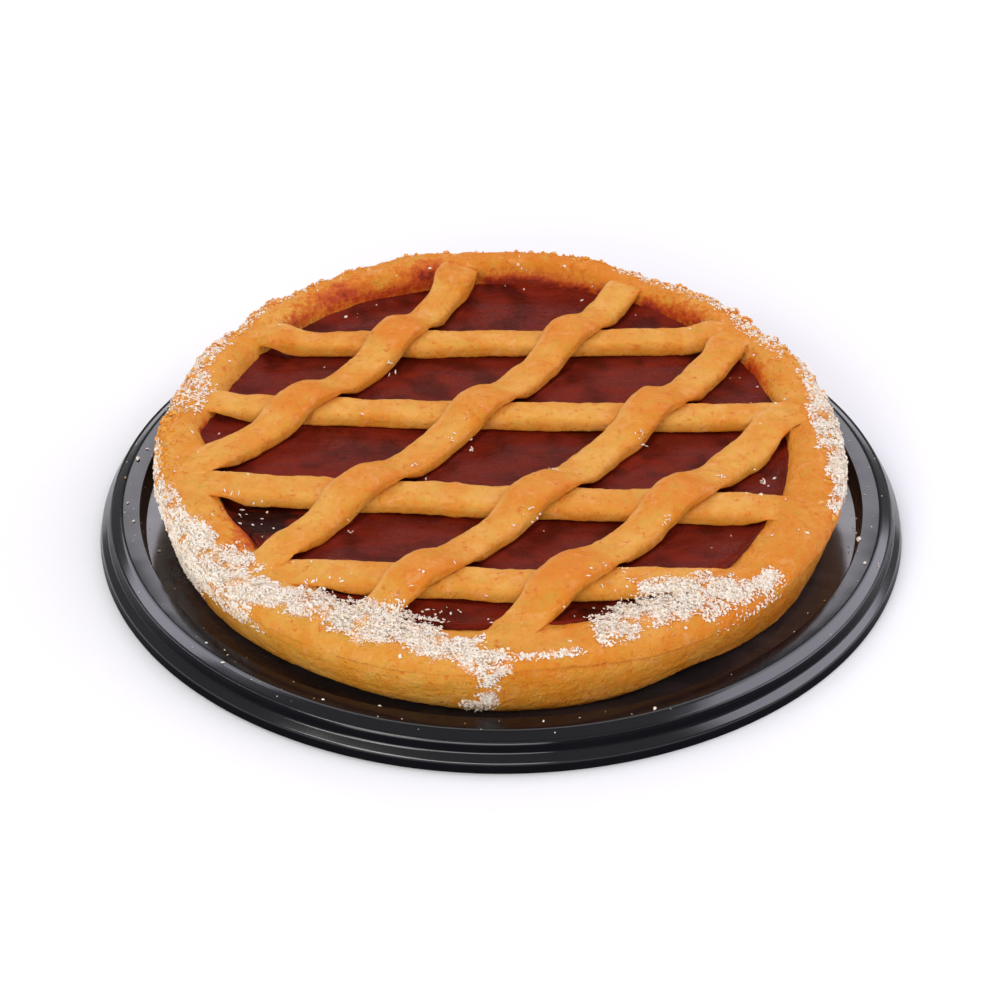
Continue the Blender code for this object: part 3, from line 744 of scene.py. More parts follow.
def dough_tone_group():
    """Colour and roughness of baked dough: pale to golden in soft blotches, towards brown where the
    browning mask is high, with rosy and olive patches a few millimetres wide and small toasted
    freckles. It turns to syrup and then jam-red where the stain mask is high, rosy where the mask of
    floured patches is, and white with coconut dust where the dust mask is. The browning mask also
    carries painted shade and painted light, and the mask of floured patches a rosy painted highlight
    on the ribbons' back edges."""
    colours = [(label, "Color", (0.6, 0.3, 0.1, 1.0)) for label in DOUGH_COLOURS]
    masks = [(label, "Float", 0.0) for label in DOUGH_MASKS]
    tree, given, result = new_group(
        "dough_tone",
        (*colours, *masks, ("Freckles", "Float", 0.5)),
        (("Color", "Color"), ("Roughness", "Float")),
    )
    place = given["Place"]
    blotch = noise_node(tree, place, 75.0, 4.0, 0.6, 0.4)
    middling = noise_node(tree, place, 260.0, 3.0, 0.6)
    fine = noise_node(tree, place, 520.0, 3.0, 0.6)
    grain = noise_node(tree, place, 1500.0, 2.0, 0.5)

    base = mix_colours(tree, ramp_node(tree, blotch, 0.36, 0.64), given["Pale"], given["Golden"])
    baked = plus(tree, given["Bake"], centred(tree, blotch, 0.8))
    baked = plus(tree, baked, centred(tree, middling, 0.5))
    baked = plus(tree, baked, centred(tree, fine, 0.25), clamp=True)
    base = mix_colours(tree, baked, base, given["Brown"])
    patch = noise_node(tree, place, 190.0, 3.0, 0.65, 0.6)
    rosy = times(tree, ramp_node(tree, patch, 0.52, 0.72), 0.42)
    base = mix_colours(tree, plus(tree, rosy, given["Flour"], clamp=True), base, given["Rosy"])
    olive = times(tree, ramp_node(tree, patch, 0.48, 0.30), 0.50)
    base = mix_colours(tree, olive, base, given["Olive"])
    freckles = times(tree, ramp_node(tree, grain, 0.66, 0.78), given["Freckles"])
    base = mix_colours(tree, freckles, base, given["Toasted"])

    spread = plus(tree, given["Stain"], centred(tree, middling, 1.2))
    spread = plus(tree, spread, centred(tree, fine, 0.9))
    base = mix_colours(tree, ramp_node(tree, spread, 0.12, 0.50), base, given["Syrup"])
    stain = ramp_node(tree, spread, 0.50, 0.95)
    base = mix_colours(tree, stain, base, given["Jam"])
    base = mix_colours(tree, ramp_node(tree, spread, 0.95, 1.40), base, given["Thick jam"])

    powder = plus(tree, given["Dust"], centred(tree, grain, 1.3))
    powder = ramp_node(tree, plus(tree, powder, centred(tree, middling, 0.8)), 0.38, 0.72)
    base = mix_colours(tree, powder, base, given["Coconut"])

    rough = plus(tree, 0.58, centred(tree, fine, 0.30))
    rough = math_node(tree, "SUBTRACT", rough, times(tree, stain, 0.22))
    set_inputs(tree, result, {"Color": base, "Roughness": rough})
    return tree


def crumb_relief_group():
    """Height of baked crumb, up to about 1.4: coarse lumps and fine grain, less small pits."""
    numbers = (("Coarse scale", 300.0), ("Fine scale", 1300.0), ("Pits", 0.4))
    tree, given, result = new_group(
        "crumb_relief", [(label, "Float", default) for label, default in numbers], (("Height", "Float"),)
    )
    place = given["Place"]
    coarse = noise_node(tree, place, given["Coarse scale"], 4.0, 0.6)
    fine = noise_node(tree, place, given["Fine scale"], 3.0, 0.6)
    inputs = {"Vector": place, "Scale": given["Coarse scale"], "Randomness": 1.0}
    cells = add_node(tree, "ShaderNodeTexVoronoi", inputs).outputs["Distance"]
    pits = times(tree, ramp_node(tree, cells, 0.30, 0.0), given["Pits"])
    height = math_node(tree, "MULTIPLY_ADD", fine, 0.45, coarse)
    set_inputs(tree, result, {"Height": math_node(tree, "SUBTRACT", height, pits)})
    return tree


def smear_group():
    """Soft long smears along X, as a mask of 0 to 1."""
    tree, given, result = new_group(
        "smears",
        (("Scale", "Float", 60.0), ("Stretch", "Vector", (0.25, 1.0, 1.0))),
        (("Mask", "Float"),),
    )
    inputs = {0: given["Place"], 1: given["Stretch"]}
    stretched = add_node(tree, "ShaderNodeVectorMath", inputs, operation="MULTIPLY").outputs[0]
    broad = noise_node(tree, stretched, given["Scale"], 5.0, 0.65, 0.8)
    set_inputs(tree, result, {"Mask": ramp_node(tree, broad, 0.38, 0.68)})
    return tree


def place_group(tree, name, build, inputs):
    """The outputs of a node group placed in a material with its own values. The group is built the
    first time that it is asked for."""
    group = bpy.data.node_groups.get(name) or build()
    return add_node(tree, "ShaderNodeGroup", inputs, node_tree=group).outputs


def smears_at(tree, place, scale, stretch):
    """Smears of a scale in cells a metre, longer along X by 1 / stretch."""
    inputs = {"Place": place, "Scale": scale, "Stretch": (stretch, 1.0, 1.0)}
    return place_group(tree, "smears", smear_group, inputs)["Mask"]


def relief_at(tree, place, coarse, fine, pits):
    """Crumb relief with its two scales in cells a metre and the depth of its pits."""
    inputs = {"Place": place, "Coarse scale": coarse, "Fine scale": fine, "Pits": pits}
    return place_group(tree, "crumb_relief", crumb_relief_group, inputs)["Height"]


# ---------------------------------------------------------------- materials


def new_material(name, values):
    """A Principled material. Returns it with its tree, its shader and the Object coordinates."""
    material = bpy.data.materials.new(name)
    material.use_nodes = True
    tree = material.node_tree
    shader = tree.nodes["Principled BSDF"]
    set_inputs(tree, shader, values)
    place = tree.nodes.new("ShaderNodeTexCoord").outputs["Object"]
    return material, tree, shader, place


def dough_material(name, freckles, depth, coarse, gloss):
    """Baked dough. Its browning, jam stains, floured patches and coconut dust come from the piece's
    attributes, and with them the painted shade, light and highlight that some pieces carry.
    A dough has its own share of freckles, depth of the relief in metres, coarse scale in cells a
    metre and soft gloss."""
    colours = bpy.context.scene.bake_colours
    values = {"Specular IOR Level": 0.18, "Coat Roughness": 0.40, "Coat Weight": gloss}
    material, tree, shader, place = new_material(name, values)
    inputs = {"Place": place, "Freckles": freckles}
    inputs |= {label: rgba(getattr(colours, key)) for label, key in DOUGH_COLOURS.items()}
    inputs |= {label: attribute(tree, key) for label, key in DOUGH_MASKS.items()}
    tone = place_group(tree, "dough_tone", dough_tone_group, inputs)
    normal = bump_node(tree, relief_at(tree, place, coarse, 1500.0, 0.35), depth)
    looks = {"Base Color": tone["Color"], "Roughness": tone["Roughness"], "Normal": normal}
    set_inputs(tree, shader, looks)
    return material


def jam_material():
    """Set quince jam: dark red with a soft gloss, long faint smears, cooler streaks, a brighter red
    where it is thin, and a painted shadow, almost black, in a few openings at the front."""
    colours = bpy.context.scene.bake_colours
    material, tree, shader, place = new_material("quince_jam", {"Specular IOR Level": 0.05})
    smears = smears_at(tree, place, 95.0, 0.22)
    bright = plus(tree, times(tree, smears, 0.55), attribute(tree, "thin"), clamp=True)
    base = mix_colours(tree, bright, colours.jam, colours.jam_bright)
    streaks = smears_at(tree, place, 230.0, 0.30)
    base = mix_colours(tree, times(tree, streaks, 0.40), base, colours.jam_streak)
    full = ramp_node(tree, noise_node(tree, place, 70.0, 3.0, 0.5), 0.34, 0.56)
    base = mix_colours(tree, full, [0.60 * value for value in colours.jam], base)
    # Painted shadow: the jam turns almost black in a few openings at the front.
    deep = plus(tree, attribute(tree, "deep"), centred(tree, streaks, 0.5))
    deep = ramp_node(tree, deep, 0.25, 0.85)
    base = mix_colours(tree, deep, base, [0.12 * value for value in colours.jam])
    rough = math_node(tree, "MULTIPLY_ADD", smears, 0.22, 0.26)
    normal = bump_node(tree, relief_at(tree, place, 170.0, 620.0, 0.0), 0.0009)
    set_inputs(tree, shader, {"Base Color": base, "Roughness": rough, "Normal": normal})
    return material


def coconut_material():
    """Dry coconut: off-white with pinkish patches, each shred a little whiter, creamier or more
    toasted by its tone."""
    colours = bpy.context.scene.bake_colours
    values = {"Roughness": 0.6, "Specular IOR Level": 0.3}
    material, tree, shader, place = new_material("grated_coconut", values)
    toasted, pinkish, greyish = (0.70, 0.44, 0.20), (0.88, 0.68, 0.55), (0.76, 0.73, 0.70)
    tone = attribute(tree, "tone")
    base = mix_colours(tree, ramp_node(tree, tone, 0.3, 0.9), colours.coconut, colours.coconut_cream)
    base = mix_colours(tree, ramp_node(tree, tone, 0.92, 1.0), base, toasted)
    patch = ramp_node(tree, noise_node(tree, place, 170.0, 3.0, 0.6), 0.50, 0.68)
    base = mix_colours(tree, times(tree, patch, 0.55), base, pinkish)
    grain = noise_node(tree, place, 1800.0, 2.0, 0.5)
    # Painted shade: a grey for the shade between shreds, speckled in by fine noise.
    base = mix_colours(tree, times(tree, grain, 0.12), base, greyish)
    set_inputs(tree, shader, {"Base Color": base, "Normal": bump_node(tree, grain, 0.0002)})
    return material


def crumb_material():
    """Crumbs of the crust, from rosy through pale and golden to brown by their tone."""
    colours = bpy.context.scene.bake_colours
    values = {"Roughness": 0.75, "Specular IOR Level": 0.3}
    material, tree, shader, place = new_material("crust_crumbs", values)
    tone = attribute(tree, "tone")
    base = mix_colours(tree, ramp_node(tree, tone, 0.0, 0.5), colours.rosy, colours.pale)
    base = mix_colours(tree, ramp_node(tree, tone, 0.5, 0.9), base, colours.golden)
    base = mix_colours(tree, ramp_node(tree, tone, 0.96, 1.0), base, colours.brown)
    normal = bump_node(tree, noise_node(tree, place, 1600.0), 0.0002)
    set_inputs(tree, shader, {"Base Color": base, "Normal": normal})
    return material


def tray_material():
    """Black moulded plastic: glossy where its polish attribute is high, with a faint haze of smears,
    fine dust, and a brown painted reflection of the tart's wall in the recess."""
    colours = bpy.context.scene.bake_colours
    values = {"Specular IOR Level": 0.02, "Coat IOR": 1.8, "Coat Roughness": 0.16}
    material, tree, shader, place = new_material("black_tray", values)
    smears = smears_at(tree, place, 34.0, 0.6)
    faint = times(tree, smears, 0.5)
    base = mix_colours(tree, faint, colours.tray, [value + 0.003 for value in colours.tray])
    # Painted reflection: brown like the tart's wall, mirrored in the recess floor.
    film = times(tree, plus(tree, faint, 0.5), attribute(tree, "film"))
    base = mix_colours(tree, film, base, colours.tray_haze)
    dust = times(tree, ramp_node(tree, noise_node(tree, place, 2600.0, 1.0, 0.5), 0.80, 0.86), 0.4)
    base = mix_colours(tree, dust, base, (0.35, 0.34, 0.33))
    rough = plus(tree, math_node(tree, "MULTIPLY_ADD", smears, 0.07, 0.09), dust)
    normal = bump_node(tree, noise_node(tree, place, 26.0, 2.0, 0.4), 0.0006)
    looks = {"Base Color": base, "Roughness": rough, "Coat Weight": attribute(tree, "polish")}
    set_inputs(tree, shader, looks | {"Normal": normal, "Coat Normal": normal})
    return material


# ---------------------------------------------------------------- tray


def rounded(corners, steps=5):
    """A profile of (radius, height, polish) from corners of (radius, height, fillet, polish). Each
    corner is replaced by an arc, the quadratic curve (1-t)^2 a + 2t(1-t) corner + t^2 b between
    points a and b a fillet away on both sides, or 0.45 of the way to the next corner if that is
    less."""
    places = np.array([(r, z, polish) for r, z, _, polish in corners])
    t = np.linspace(0.0, 1.0, steps)[:, None]
    profile = [places[:1]]
    for before, corner, after, (_, _, fillet, _) in zip(places, places[1:], places[2:], corners[1:-1]):
        back, on = before - corner, after - corner
        reach_back, reach_on = np.linalg.norm(back[:2]), np.linalg.norm(on[:2])
        cut = min(fillet, 0.45 * reach_back, 0.45 * reach_on)
        a = corner + back * cut / reach_back
        b = corner + on * cut / reach_on
        profile.append((1.0 - t) ** 2 * a + 2.0 * t * (1.0 - t) * corner + t**2 * b)
    profile.append(places[-1:])
    return np.concatenate(profile)


def offset_profile(profile, distance):
    """The profile moved sideways by a distance, along the mean normal of its two neighbouring runs.
    Its third column stays as it is."""
    along = np.gradient(profile[:, :2], axis=0)
    along /= np.linalg.norm(along, axis=1, keepdims=True)
    aside = np.stack([along[:, 1], -along[:, 0], np.zeros(len(along))], axis=1)
    return profile + distance * aside


def turned_rings(profile, columns):
    """Rings of a profile of (radius, height) turned round the Z axis: (r cos a, r sin a, z)."""
    angle = bearings(columns)
    radius, height = profile[:, 0:1], profile[:, 1:2]
    return points_from(radius * np.cos(angle), radius * np.sin(angle), height)


def build_tray():
    """The tray's upper profile, rounded at its corners, and the same one sheet lower, both turned round
    the Z axis as one closed skin. A corner gives its radius, height, fillet and polish. The floor
    inside the flange also carries a brown painted reflection of the tart's wall, which fades out up
    the recess wall."""
    tray = bpy.context.scene.tray_sizes
    floor, flange, ledge = tray.floor_z, tray.flange_z, tray.ledge_z
    shoulder = flange - SHOULDER_DROP
    satin, dull, glossy, groove, matt = 0.6, 0.4, 1.0, 0.05, 0.02
    upper = rounded(
        (
            (0.0005, floor, 0.0, satin),
            (0.060, floor, 0.001, satin),
            (tray.floor_radius, floor, 0.0003, satin),
            (tray.flange_inner, flange, 0.0004, dull),
            (tray.flange_outer, flange, 0.0010, dull),
            (tray.flange_outer + 0.0010, flange - 0.0004, 0.0003, glossy),
            (tray.lip_inner, shoulder, 0.0003, glossy),
            (tray.lip_inner + 0.0004, shoulder - 0.0004, 0.0003, groove),
            (tray.lip_inner + 0.0008, shoulder + 0.0001, 0.0003, glossy),
            (tray.lip_outer - 0.0004, shoulder - 0.0002, 0.0004, satin),
            (tray.lip_outer, shoulder - 0.0009, 0.0005, matt),
            (tray.lip_outer + 0.0003, ledge + 0.0022, 0.0003, matt),
            (tray.lip_outer + 0.0006, ledge + 0.0017, 0.0003, glossy),
            (tray.ledge_outer, ledge - 0.0004, 0.0005, glossy),
            (tray.ledge_outer + 0.0002, ledge - 0.0012, 0.0003, matt),
            (tray.radius - 0.0001, tray.sheet - 0.0001, 0.0, matt),
        )
    )
    edge = np.array([[tray.radius, 0.5 * tray.sheet, 0.04], [tray.radius - 0.0001, 0.0, 0.04]])
    lower = offset_profile(upper, tray.sheet)
    lower[:, 1] = np.maximum(lower[:, 1], 0.0)
    inside = lower[lower[:, 0] < tray.radius - 0.0004][::-1]
    profile = np.concatenate([upper, edge, inside])
    profile[-1, 0] = upper[0, 0]
    # Painted reflection of the tart's wall on the recess floor, fading out up the recess wall.
    film = ease((tray.flange_inner + 0.0010 - profile[:, 0:1]) / 0.0030)
    mesh = tube_mesh("tray_moulding", turned_rings(profile, 384), polish=profile[:, 2:], film=film)
    mesh.set_sharp_from_angle(angle=math.radians(60.0))
    add_piece("tray_moulding", mesh, tray_material(), "tray_black", "tray")


# ---------------------------------------------------------------- case


def build_wall():
    """Side wall and base of the case. The outer side follows wall_radius, with slow dents, streaks
    drawn out along the wall, fine grit, a crease below the rim, deepest at the front right, and a
    crumbly foot that is lifted off the tray in places. The inner side is the well that holds the
    jam. The foot is baked browner and also darkened as painted shade, and the crease is darkened
    as painted shade, most at the front right."""
    sizes = bpy.context.scene.tart_sizes
    steps = 66
    theta = bearings(1000)
    share = np.linspace(0.0, 1.0, steps)[:, None]
    foot_z = sizes.foot_z + bells(theta, FOOT_LIFTS)
    x, y = plan_point(theta, wall_radius(theta, share))
    outer = points_from(x, y, foot_z + share * (seam_height(theta) - foot_z))
    foot = np.exp(-share / 0.10)
    rough = 0.55 + crumbliness(theta) * 0.6 + 0.8 * foot
    creased = 0.35 + 0.65 * bump_at(theta, -55.0, 32.0)
    dents = 0.00070 * fractal(outer, 0.022, 2, 3)
    streaks = 0.00036 * rough * fractal(outer * np.array([1.0, 1.0, 3.0]), 0.0060, 3, 5)
    grit = 0.00018 * rough * fractal(outer, 0.0017, 2, 9)
    crease = 0.0022 * creased * np.exp(-(((share - 1.0) / 0.08) ** 2))
    relief = dents + streaks + (grit - 0.0004 * foot) - crease
    outer = outer + relief[..., None] * points_from(np.cos(theta), np.sin(theta), 0.0 * share)

    below = outer[:1] * np.array([0.985, 0.985, 1.0])
    centre = np.array([*sizes.centre, sizes.foot_z])
    under = centre + (below - centre) * np.array([0.55, 0.55, 0.0])
    middle = centre + (below - centre) * np.array([0.01, 0.01, 0.0])
    x, y = plan_point(theta, rim_edges(theta)[0])
    well = [points_from(x, y, z) for z in (seam_height(theta), sizes.well_z)]
    well_centre = np.array([*sizes.centre, sizes.well_z])
    last = well_centre + (well[1] - well_centre) * 0.01
    rings = np.concatenate([middle, under, below, outer, *well, last])

    height_share = np.zeros((len(rings), 1))
    height_share[3 : 3 + steps] = share
    # Painted shade: the foot is darkened beyond its browning, and the crease below the rim is darkened,
    # most at the front right.
    foot_brown = 0.45 * np.exp(-height_share / 0.07)
    crease_brown = 0.6 * creased * np.exp(-(((height_share - 1.0) / 0.06) ** 2))
    bake = 0.30 + 0.34 * fractal(rings * np.array([1.0, 1.0, 2.0]), 0.014, 3, 21)
    bake = bake + foot_brown + crease_brown + bells(theta, BROWN_STRETCHES)
    dust = dusting(bank_cover(theta, height_share, WALL_BANKS), rings)
    mesh = tube_mesh("crust_wall", rings, bake=bake, stain=0.0, flour=0.0, dust=dust)
    material = dough_material("wall_crust", freckles=0.35, depth=0.0009, coarse=380.0, gloss=0.0)
    add_piece("crust_wall", mesh, material, "wall_crust", "pastry_shell")


def build_rim():
    """Rounded band of dough round the top. Each section runs over the superellipse of rim_height, at
    places spaced by a cosine to the power 0.72, swells over the ends of the ribbons, and runs back
    along the seam. It is roughened most on the outer side of its crumbly stretches, and stained with
    jam on its inner slope between the ribbons."""
    sizes = bpy.context.scene.tart_sizes
    over, under = 62, 14
    evenness, swell = 0.72, 0.0042
    theta = bearings(1080)
    turn = np.linspace(0.0, math.pi, over)[:, None]
    across = np.sign(np.cos(turn)) * np.abs(np.cos(turn)) ** evenness
    back = np.linspace(-1.0, 1.0, under + 2)[1:-1, None]
    across = np.concatenate([across, back])
    lower = np.arange(over + under)[:, None] >= over
    inner, outer = rim_edges(theta)
    middle, half = 0.5 * (inner + outer), 0.5 * (outer - inner)
    radius = middle + half * across
    top = rim_height(theta, radius)
    floor = seam_height(theta) - 0.0004
    sunk = 0.0003 + 0.0006 * ease((across + 0.9) / 0.9)
    raised = soft_max(top, lattice_height(*plan_point(theta, radius)) - sunk, swell)
    top = top + (raised - top) * ease((0.99 - np.abs(across)) / 0.20)
    height = np.where(lower, floor, np.maximum(top, floor + 0.0009))
    radius = np.where(lower, middle + half * across * 0.97, radius)
    rings = points_from(*plan_point(theta, radius), height)

    crumbly = crumbliness(theta) * ease((across + 0.1) / 0.8)
    dents = 0.00085 * fractal(rings, 0.020, 3, 31)
    lumps = (0.00042 + 0.00190 * crumbly) * fractal(rings, 0.0048, 3, 35)
    grit = (0.00014 + 0.00040 * crumbly) * fractal(rings, 0.0016, 2, 39)
    relief = np.where(lower, 0.0, dents + lumps + grit)
    rings = rings + relief[..., None] * ring_normals(rings, True, np.s_[over // 2])

    share = 0.5 * (across + 1.0)
    knobs = fractal(rings, 0.0048, 3, 35)
    bake = crust_bake(rings) + 0.25 * ease((share - 0.80) / 0.2)
    bake = bake + crumbly * np.clip(1.6 * knobs, -0.4, 0.8)
    flour = 0.8 * crumbly * np.clip(-2.0 * knobs, 0.0, 1.0)
    above = rings[..., 2] - sizes.jam_z
    stain = sum(
        strength * bump_at(theta, bearing, spread) * np.exp(-(((above - middle_z) / reach) ** 2))
        for bearing, spread, middle_z, reach, strength in RIM_STAINS
    )
    stain = np.where(lower, 0.0, stain * ease((0.62 - share) / 0.2))
    stain = stain * ease((ribbon_distance(rings[..., 0], rings[..., 1]) + 0.001) / 0.004)
    side_share = (rings[..., 2] - sizes.foot_z) / (seam_height(theta) - sizes.foot_z)
    side_cover = ease((across - 0.60) / 0.30) * bank_cover(theta, side_share, WALL_BANKS)
    dust = dusting(np.maximum(bank_cover(theta, share, RIM_BANKS), side_cover), rings)
    mesh = tube_mesh("crust_rim", rings, closed=True, bake=bake, stain=stain, flour=flour, dust=dust)
    material = dough_material("rim_crust", freckles=0.30, depth=0.0010, coarse=330.0, gloss=0.05)
    add_piece("crust_rim", mesh, material, "rim_crust", "rim_band")


# ---------------------------------------------------------------- lattice


def smoothed(values, spread):
    """Running mean of a row of values with bell weights exp(-(k / spread)^2 / 2), ends held."""
    reach = np.arange(-3 * spread, 3 * spread + 1)
    weights = np.exp(-0.5 * (reach / spread) ** 2)
    weights /= weights.sum()
    padded = np.pad(values, 3 * spread, mode="edge")
    return np.convolve(padded, weights, mode="valid")


def stations_in(distance, reach, stations):
    """How many stations of a ribbon a distance spans, at least 1."""
    return max(1, int(round(distance / (reach / stations))))


def ribbon_rail(node, stations):
    """Centre line, half width, crest and underside heights of a ribbon, read off its own solid.

    The chord joins the middles of the two end faces. The parabola 4 bow s (1 - s) across the chord
    that fits the points best is the centre line. The widest, highest and lowest points of each
    cross-section give the other values, which are then blended along the ribbon. Where the solid's
    underside is flat, a section can lack a point, and its neighbours' heights are blended. The
    underside comes as three rows, on the right, in the middle and on the left. Both ends are carried
    on to 4 mm from the rim's outer edge, by 3 mm at most."""
    end_face, section_gap, middle_part = 0.001, 0.002, 0.3
    rim_margin, longest, blend = 0.0040, 0.003, 0.0024
    points = mesh_points(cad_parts[node].data)
    plan = points[:, :2]
    axis = np.linalg.svd(plan - plan.mean(axis=0), full_matrices=False)[2][0]
    axis = axis * np.sign(axis[0])
    for _ in range(3):
        along = plan @ axis
        start = plan[along < along.min() + end_face].mean(axis=0)
        end = plan[along > along.max() - end_face].mean(axis=0)
        axis = (end - start) / np.linalg.norm(end - start)
    reach = float(np.linalg.norm(end - start))
    left = np.array([-axis[1], axis[0]])
    along, aside = (plan - start) @ axis, (plan - start) @ left
    ordered = np.sort(along)
    places = ordered[np.concatenate([[True], np.diff(ordered) > section_gap])]
    section = np.searchsorted(places - 0.5 * section_gap, along) - 1
    count = len(places)
    widest, narrowest, crest = np.full(count, -1.0), np.full(count, 1.0), np.full(count, -1.0)
    np.maximum.at(widest, section, aside)
    np.minimum.at(narrowest, section, aside)
    np.maximum.at(crest, section, points[:, 2])
    half, line = 0.5 * (widest - narrowest), 0.5 * (widest + narrowest)
    arch = 4.0 * (places / reach) * (1.0 - places / reach)
    bow = float((line * arch).sum() / (arch * arch).sum())
    across = (aside - line[section]) / half[section]
    side = np.where(across < -middle_part, 0, np.where(across > middle_part, 2, 1))
    low = np.full((3, count), 1.0)
    np.minimum.at(low, (side, section), points[:, 2])
    tips = np.stack([start, end])
    theta, radius = plan_radius(tips[:, 0], tips[:, 1])
    more = np.clip(rim_edges(theta)[1] - rim_margin - radius, 0.0, longest) / reach
    share = np.linspace(-more[0], 1.0 + more[1], stations)
    values = [np.interp(share * reach, places, row) for row in (half, crest)]
    values += [np.interp(share * reach, places[row < 1.0], row[row < 1.0]) for row in low]
    half, crest, *low = (smoothed(row, stations_in(blend, reach, stations)) for row in values)
    run = (share - share[0]) * reach
    bowed = (4.0 * bow * share * (1.0 - share))[:, None] * left
    centre = start + share[:, None] * reach * axis + bowed
    return SimpleNamespace(
        run=run, reach=run[-1], centre=centre, left=left, half=half, crest=crest, low=np.stack(low)
    )


def ribbon_crest(node, stations):
    """Height of a ribbon's crest along it. Its humps over the ribbons below are made steeper and a
    little higher: the level parts' height plus 1.2 rise (hump / rise)^1.5. Its ends rise to just
    above the rim and follow it outwards."""
    rail = ribbon_rail(node, stations)
    theta, radius = plan_radius(rail.centre[:, 0], rail.centre[:, 1])
    inner, outer = rim_edges(theta)
    level = bpy.context.scene.tart_sizes.jam_z + LATTICE_LEVEL
    hump = np.clip((rail.crest - level) / HUMP_RISE, 0.0, None)
    crest = np.where(radius < inner - 0.004, level + 1.20 * HUMP_RISE * hump**1.5, rail.crest)
    rim_z = rim_height(theta, np.clip(radius, 0.5 * (inner + outer), outer - 0.003))
    settle = ease((radius - inner + 0.009) / 0.011)
    crest = crest + settle * (rim_z + 0.0004 - crest)
    return smoothed(crest, stations_in(0.0018, rail.reach, stations))


def ribbon_place(node, x, y):
    """Where plan places lie by a ribbon: distance along it, distance aside from its centre line, its
    half width there, and distance past its tips."""
    rail = ribbon_rail(node, COARSE_STATIONS)
    along = np.array([rail.left[1], -rail.left[0]])
    offset = np.stack([x - rail.centre[0, 0], y - rail.centre[0, 1]], axis=-1)
    s, aside = offset @ along, offset @ rail.left
    line = np.interp(s, rail.run, (rail.centre - rail.centre[0]) @ rail.left)
    past = np.maximum(0.0, np.maximum(-s, s - rail.reach))
    return s, np.abs(aside - line), np.interp(s, rail.run, rail.half), past


def lattice_height(x, y):
    """Height of the lattice's surface carried on over plan places, the highest of all ribbons: crest
    less 3.5 mm times the sum of (distance aside / half width)^3 and (distance past a tip /
    7.5 mm)^2."""
    edge_drop, tip_run = 0.0035, 0.0075
    highest = np.full(np.shape(x), -1.0)
    for node in RIBBONS:
        run = ribbon_rail(node, COARSE_STATIONS).run
        s, aside, half, past = ribbon_place(node, x, y)
        fall = edge_drop * ((aside / half) ** 3 + (past / tip_run) ** 2)
        highest = np.maximum(highest, np.interp(s, run, ribbon_crest(node, COARSE_STATIONS)) - fall)
    return highest


def build_ribbon(node, material, seed):
    """One dough ribbon. Its section is a superellipse, aside the softened power 0.66 of a cosine and
    up that of a sine, from its underside to its crest. It spreads where it lies on another ribbon,
    narrows at its tips and sinks into the rim at both ends."""
    sizes = bpy.context.scene.tart_sizes
    stations, columns = 380, 60
    softness, tip_length = 0.66, 0.0070
    rail = ribbon_rail(node, stations)
    turn = bearings(columns)
    side, lift = (np.sign(wave) * np.abs(wave) ** softness for wave in (np.cos(turn), np.sin(turn)))
    tip = np.minimum(rail.run, rail.reach - rail.run)
    round_end = np.sqrt(1.0 - (1.0 - np.clip(tip / tip_length, 0.004, 1.0)) ** 2)
    theta, radius = plan_radius(rail.centre[:, 0], rail.centre[:, 1])
    past_edge = radius - rim_edges(theta)[0]
    on_rim = ease(past_edge / 0.005)
    crest = ribbon_crest(node, stations)
    over = ease((crest - sizes.jam_z - 0.0072) / 0.0035) * (1.0 - on_rim)

    crest = crest - 0.0011 * ease((past_edge - 0.003) / 0.006) - 0.0034 * ease(1.0 - tip / 0.0085)
    low = rail.low - 0.0011 - 0.0012 * on_rim
    line = points_from(rail.run, seed * 0.31, 0.0)
    half = rail.half * (0.945 + 0.14 * over)
    half = half * (1.0 + 0.06 * noise(line, 0.013, seed) + 0.035 * noise(line, 0.0045, seed + 50))
    half = half * (0.35 + 0.65 * round_end)
    sway = 0.0007 * noise(line, 0.016, seed + 70)
    underside = np.stack([np.interp(side[0], (-1.0, 0.0, 1.0), column) for column in low.T])
    crest = crest[:, None]
    middle = np.minimum(underside + 0.50 * (crest - underside), crest - 0.0004)
    height = np.where(lift > 0.0, middle + lift * (crest - middle), middle + lift * (middle - underside))
    height = middle + (height - middle) * round_end[:, None]
    offset = side * half[:, None] + sway[:, None]
    x = rail.centre[:, 0, None] + offset * rail.left[0]
    y = rail.centre[:, 1, None] + offset * rail.left[1]
    rings = points_from(x, y, height)

    quarter = stations // 4
    normals = ring_normals(rings, False, np.s_[quarter:-quarter, columns // 4])
    dents = 0.00046 * fractal(rings, 0.010, 2, 60 + seed)
    grit = 0.00030 * fractal(rings, 0.0032, 3, 90 + seed)
    relief = (dents + grit) * (round_end > 0.6)[:, None]
    rings = rings + relief[..., None] * normals

    on_rim, over = on_rim[:, None], over[:, None]
    upper = ease((lift + 0.2) / 0.8)
    # Painted light and shade: the back edge (on +Y) is paler, with a rosy painted highlight, and the front
    # edge is browner as painted shade.
    edge = ease((np.abs(side) - 0.55) / 0.4) * np.sign(side)
    bake = 0.16 + 0.66 * over * upper + 0.46 * fractal(rings, 0.012, 3, 120 + seed) - 0.30 * edge
    bake = bake + on_rim * (crust_bake(rings) - bake)
    uneven = 0.7 + 0.6 * fractal(rings, 0.006, 2, 150 + seed)
    flour = 0.60 * np.clip(edge, 0.0, 1.0) * uneven * (1.0 - on_rim)
    stain = 0.62 * ease(1.0 - (rings[..., 2] - sizes.jam_z) / 0.0011) * (1.0 - on_rim)
    dust = dusting(rim_cover(rings[..., 0], rings[..., 1]) * upper, rings)
    name = "dough_" + node
    mesh = tube_mesh(name, rings, bake=bake, stain=stain, flour=flour, dust=dust)
    add_piece(name, mesh, material, "ribbon_dough", node)


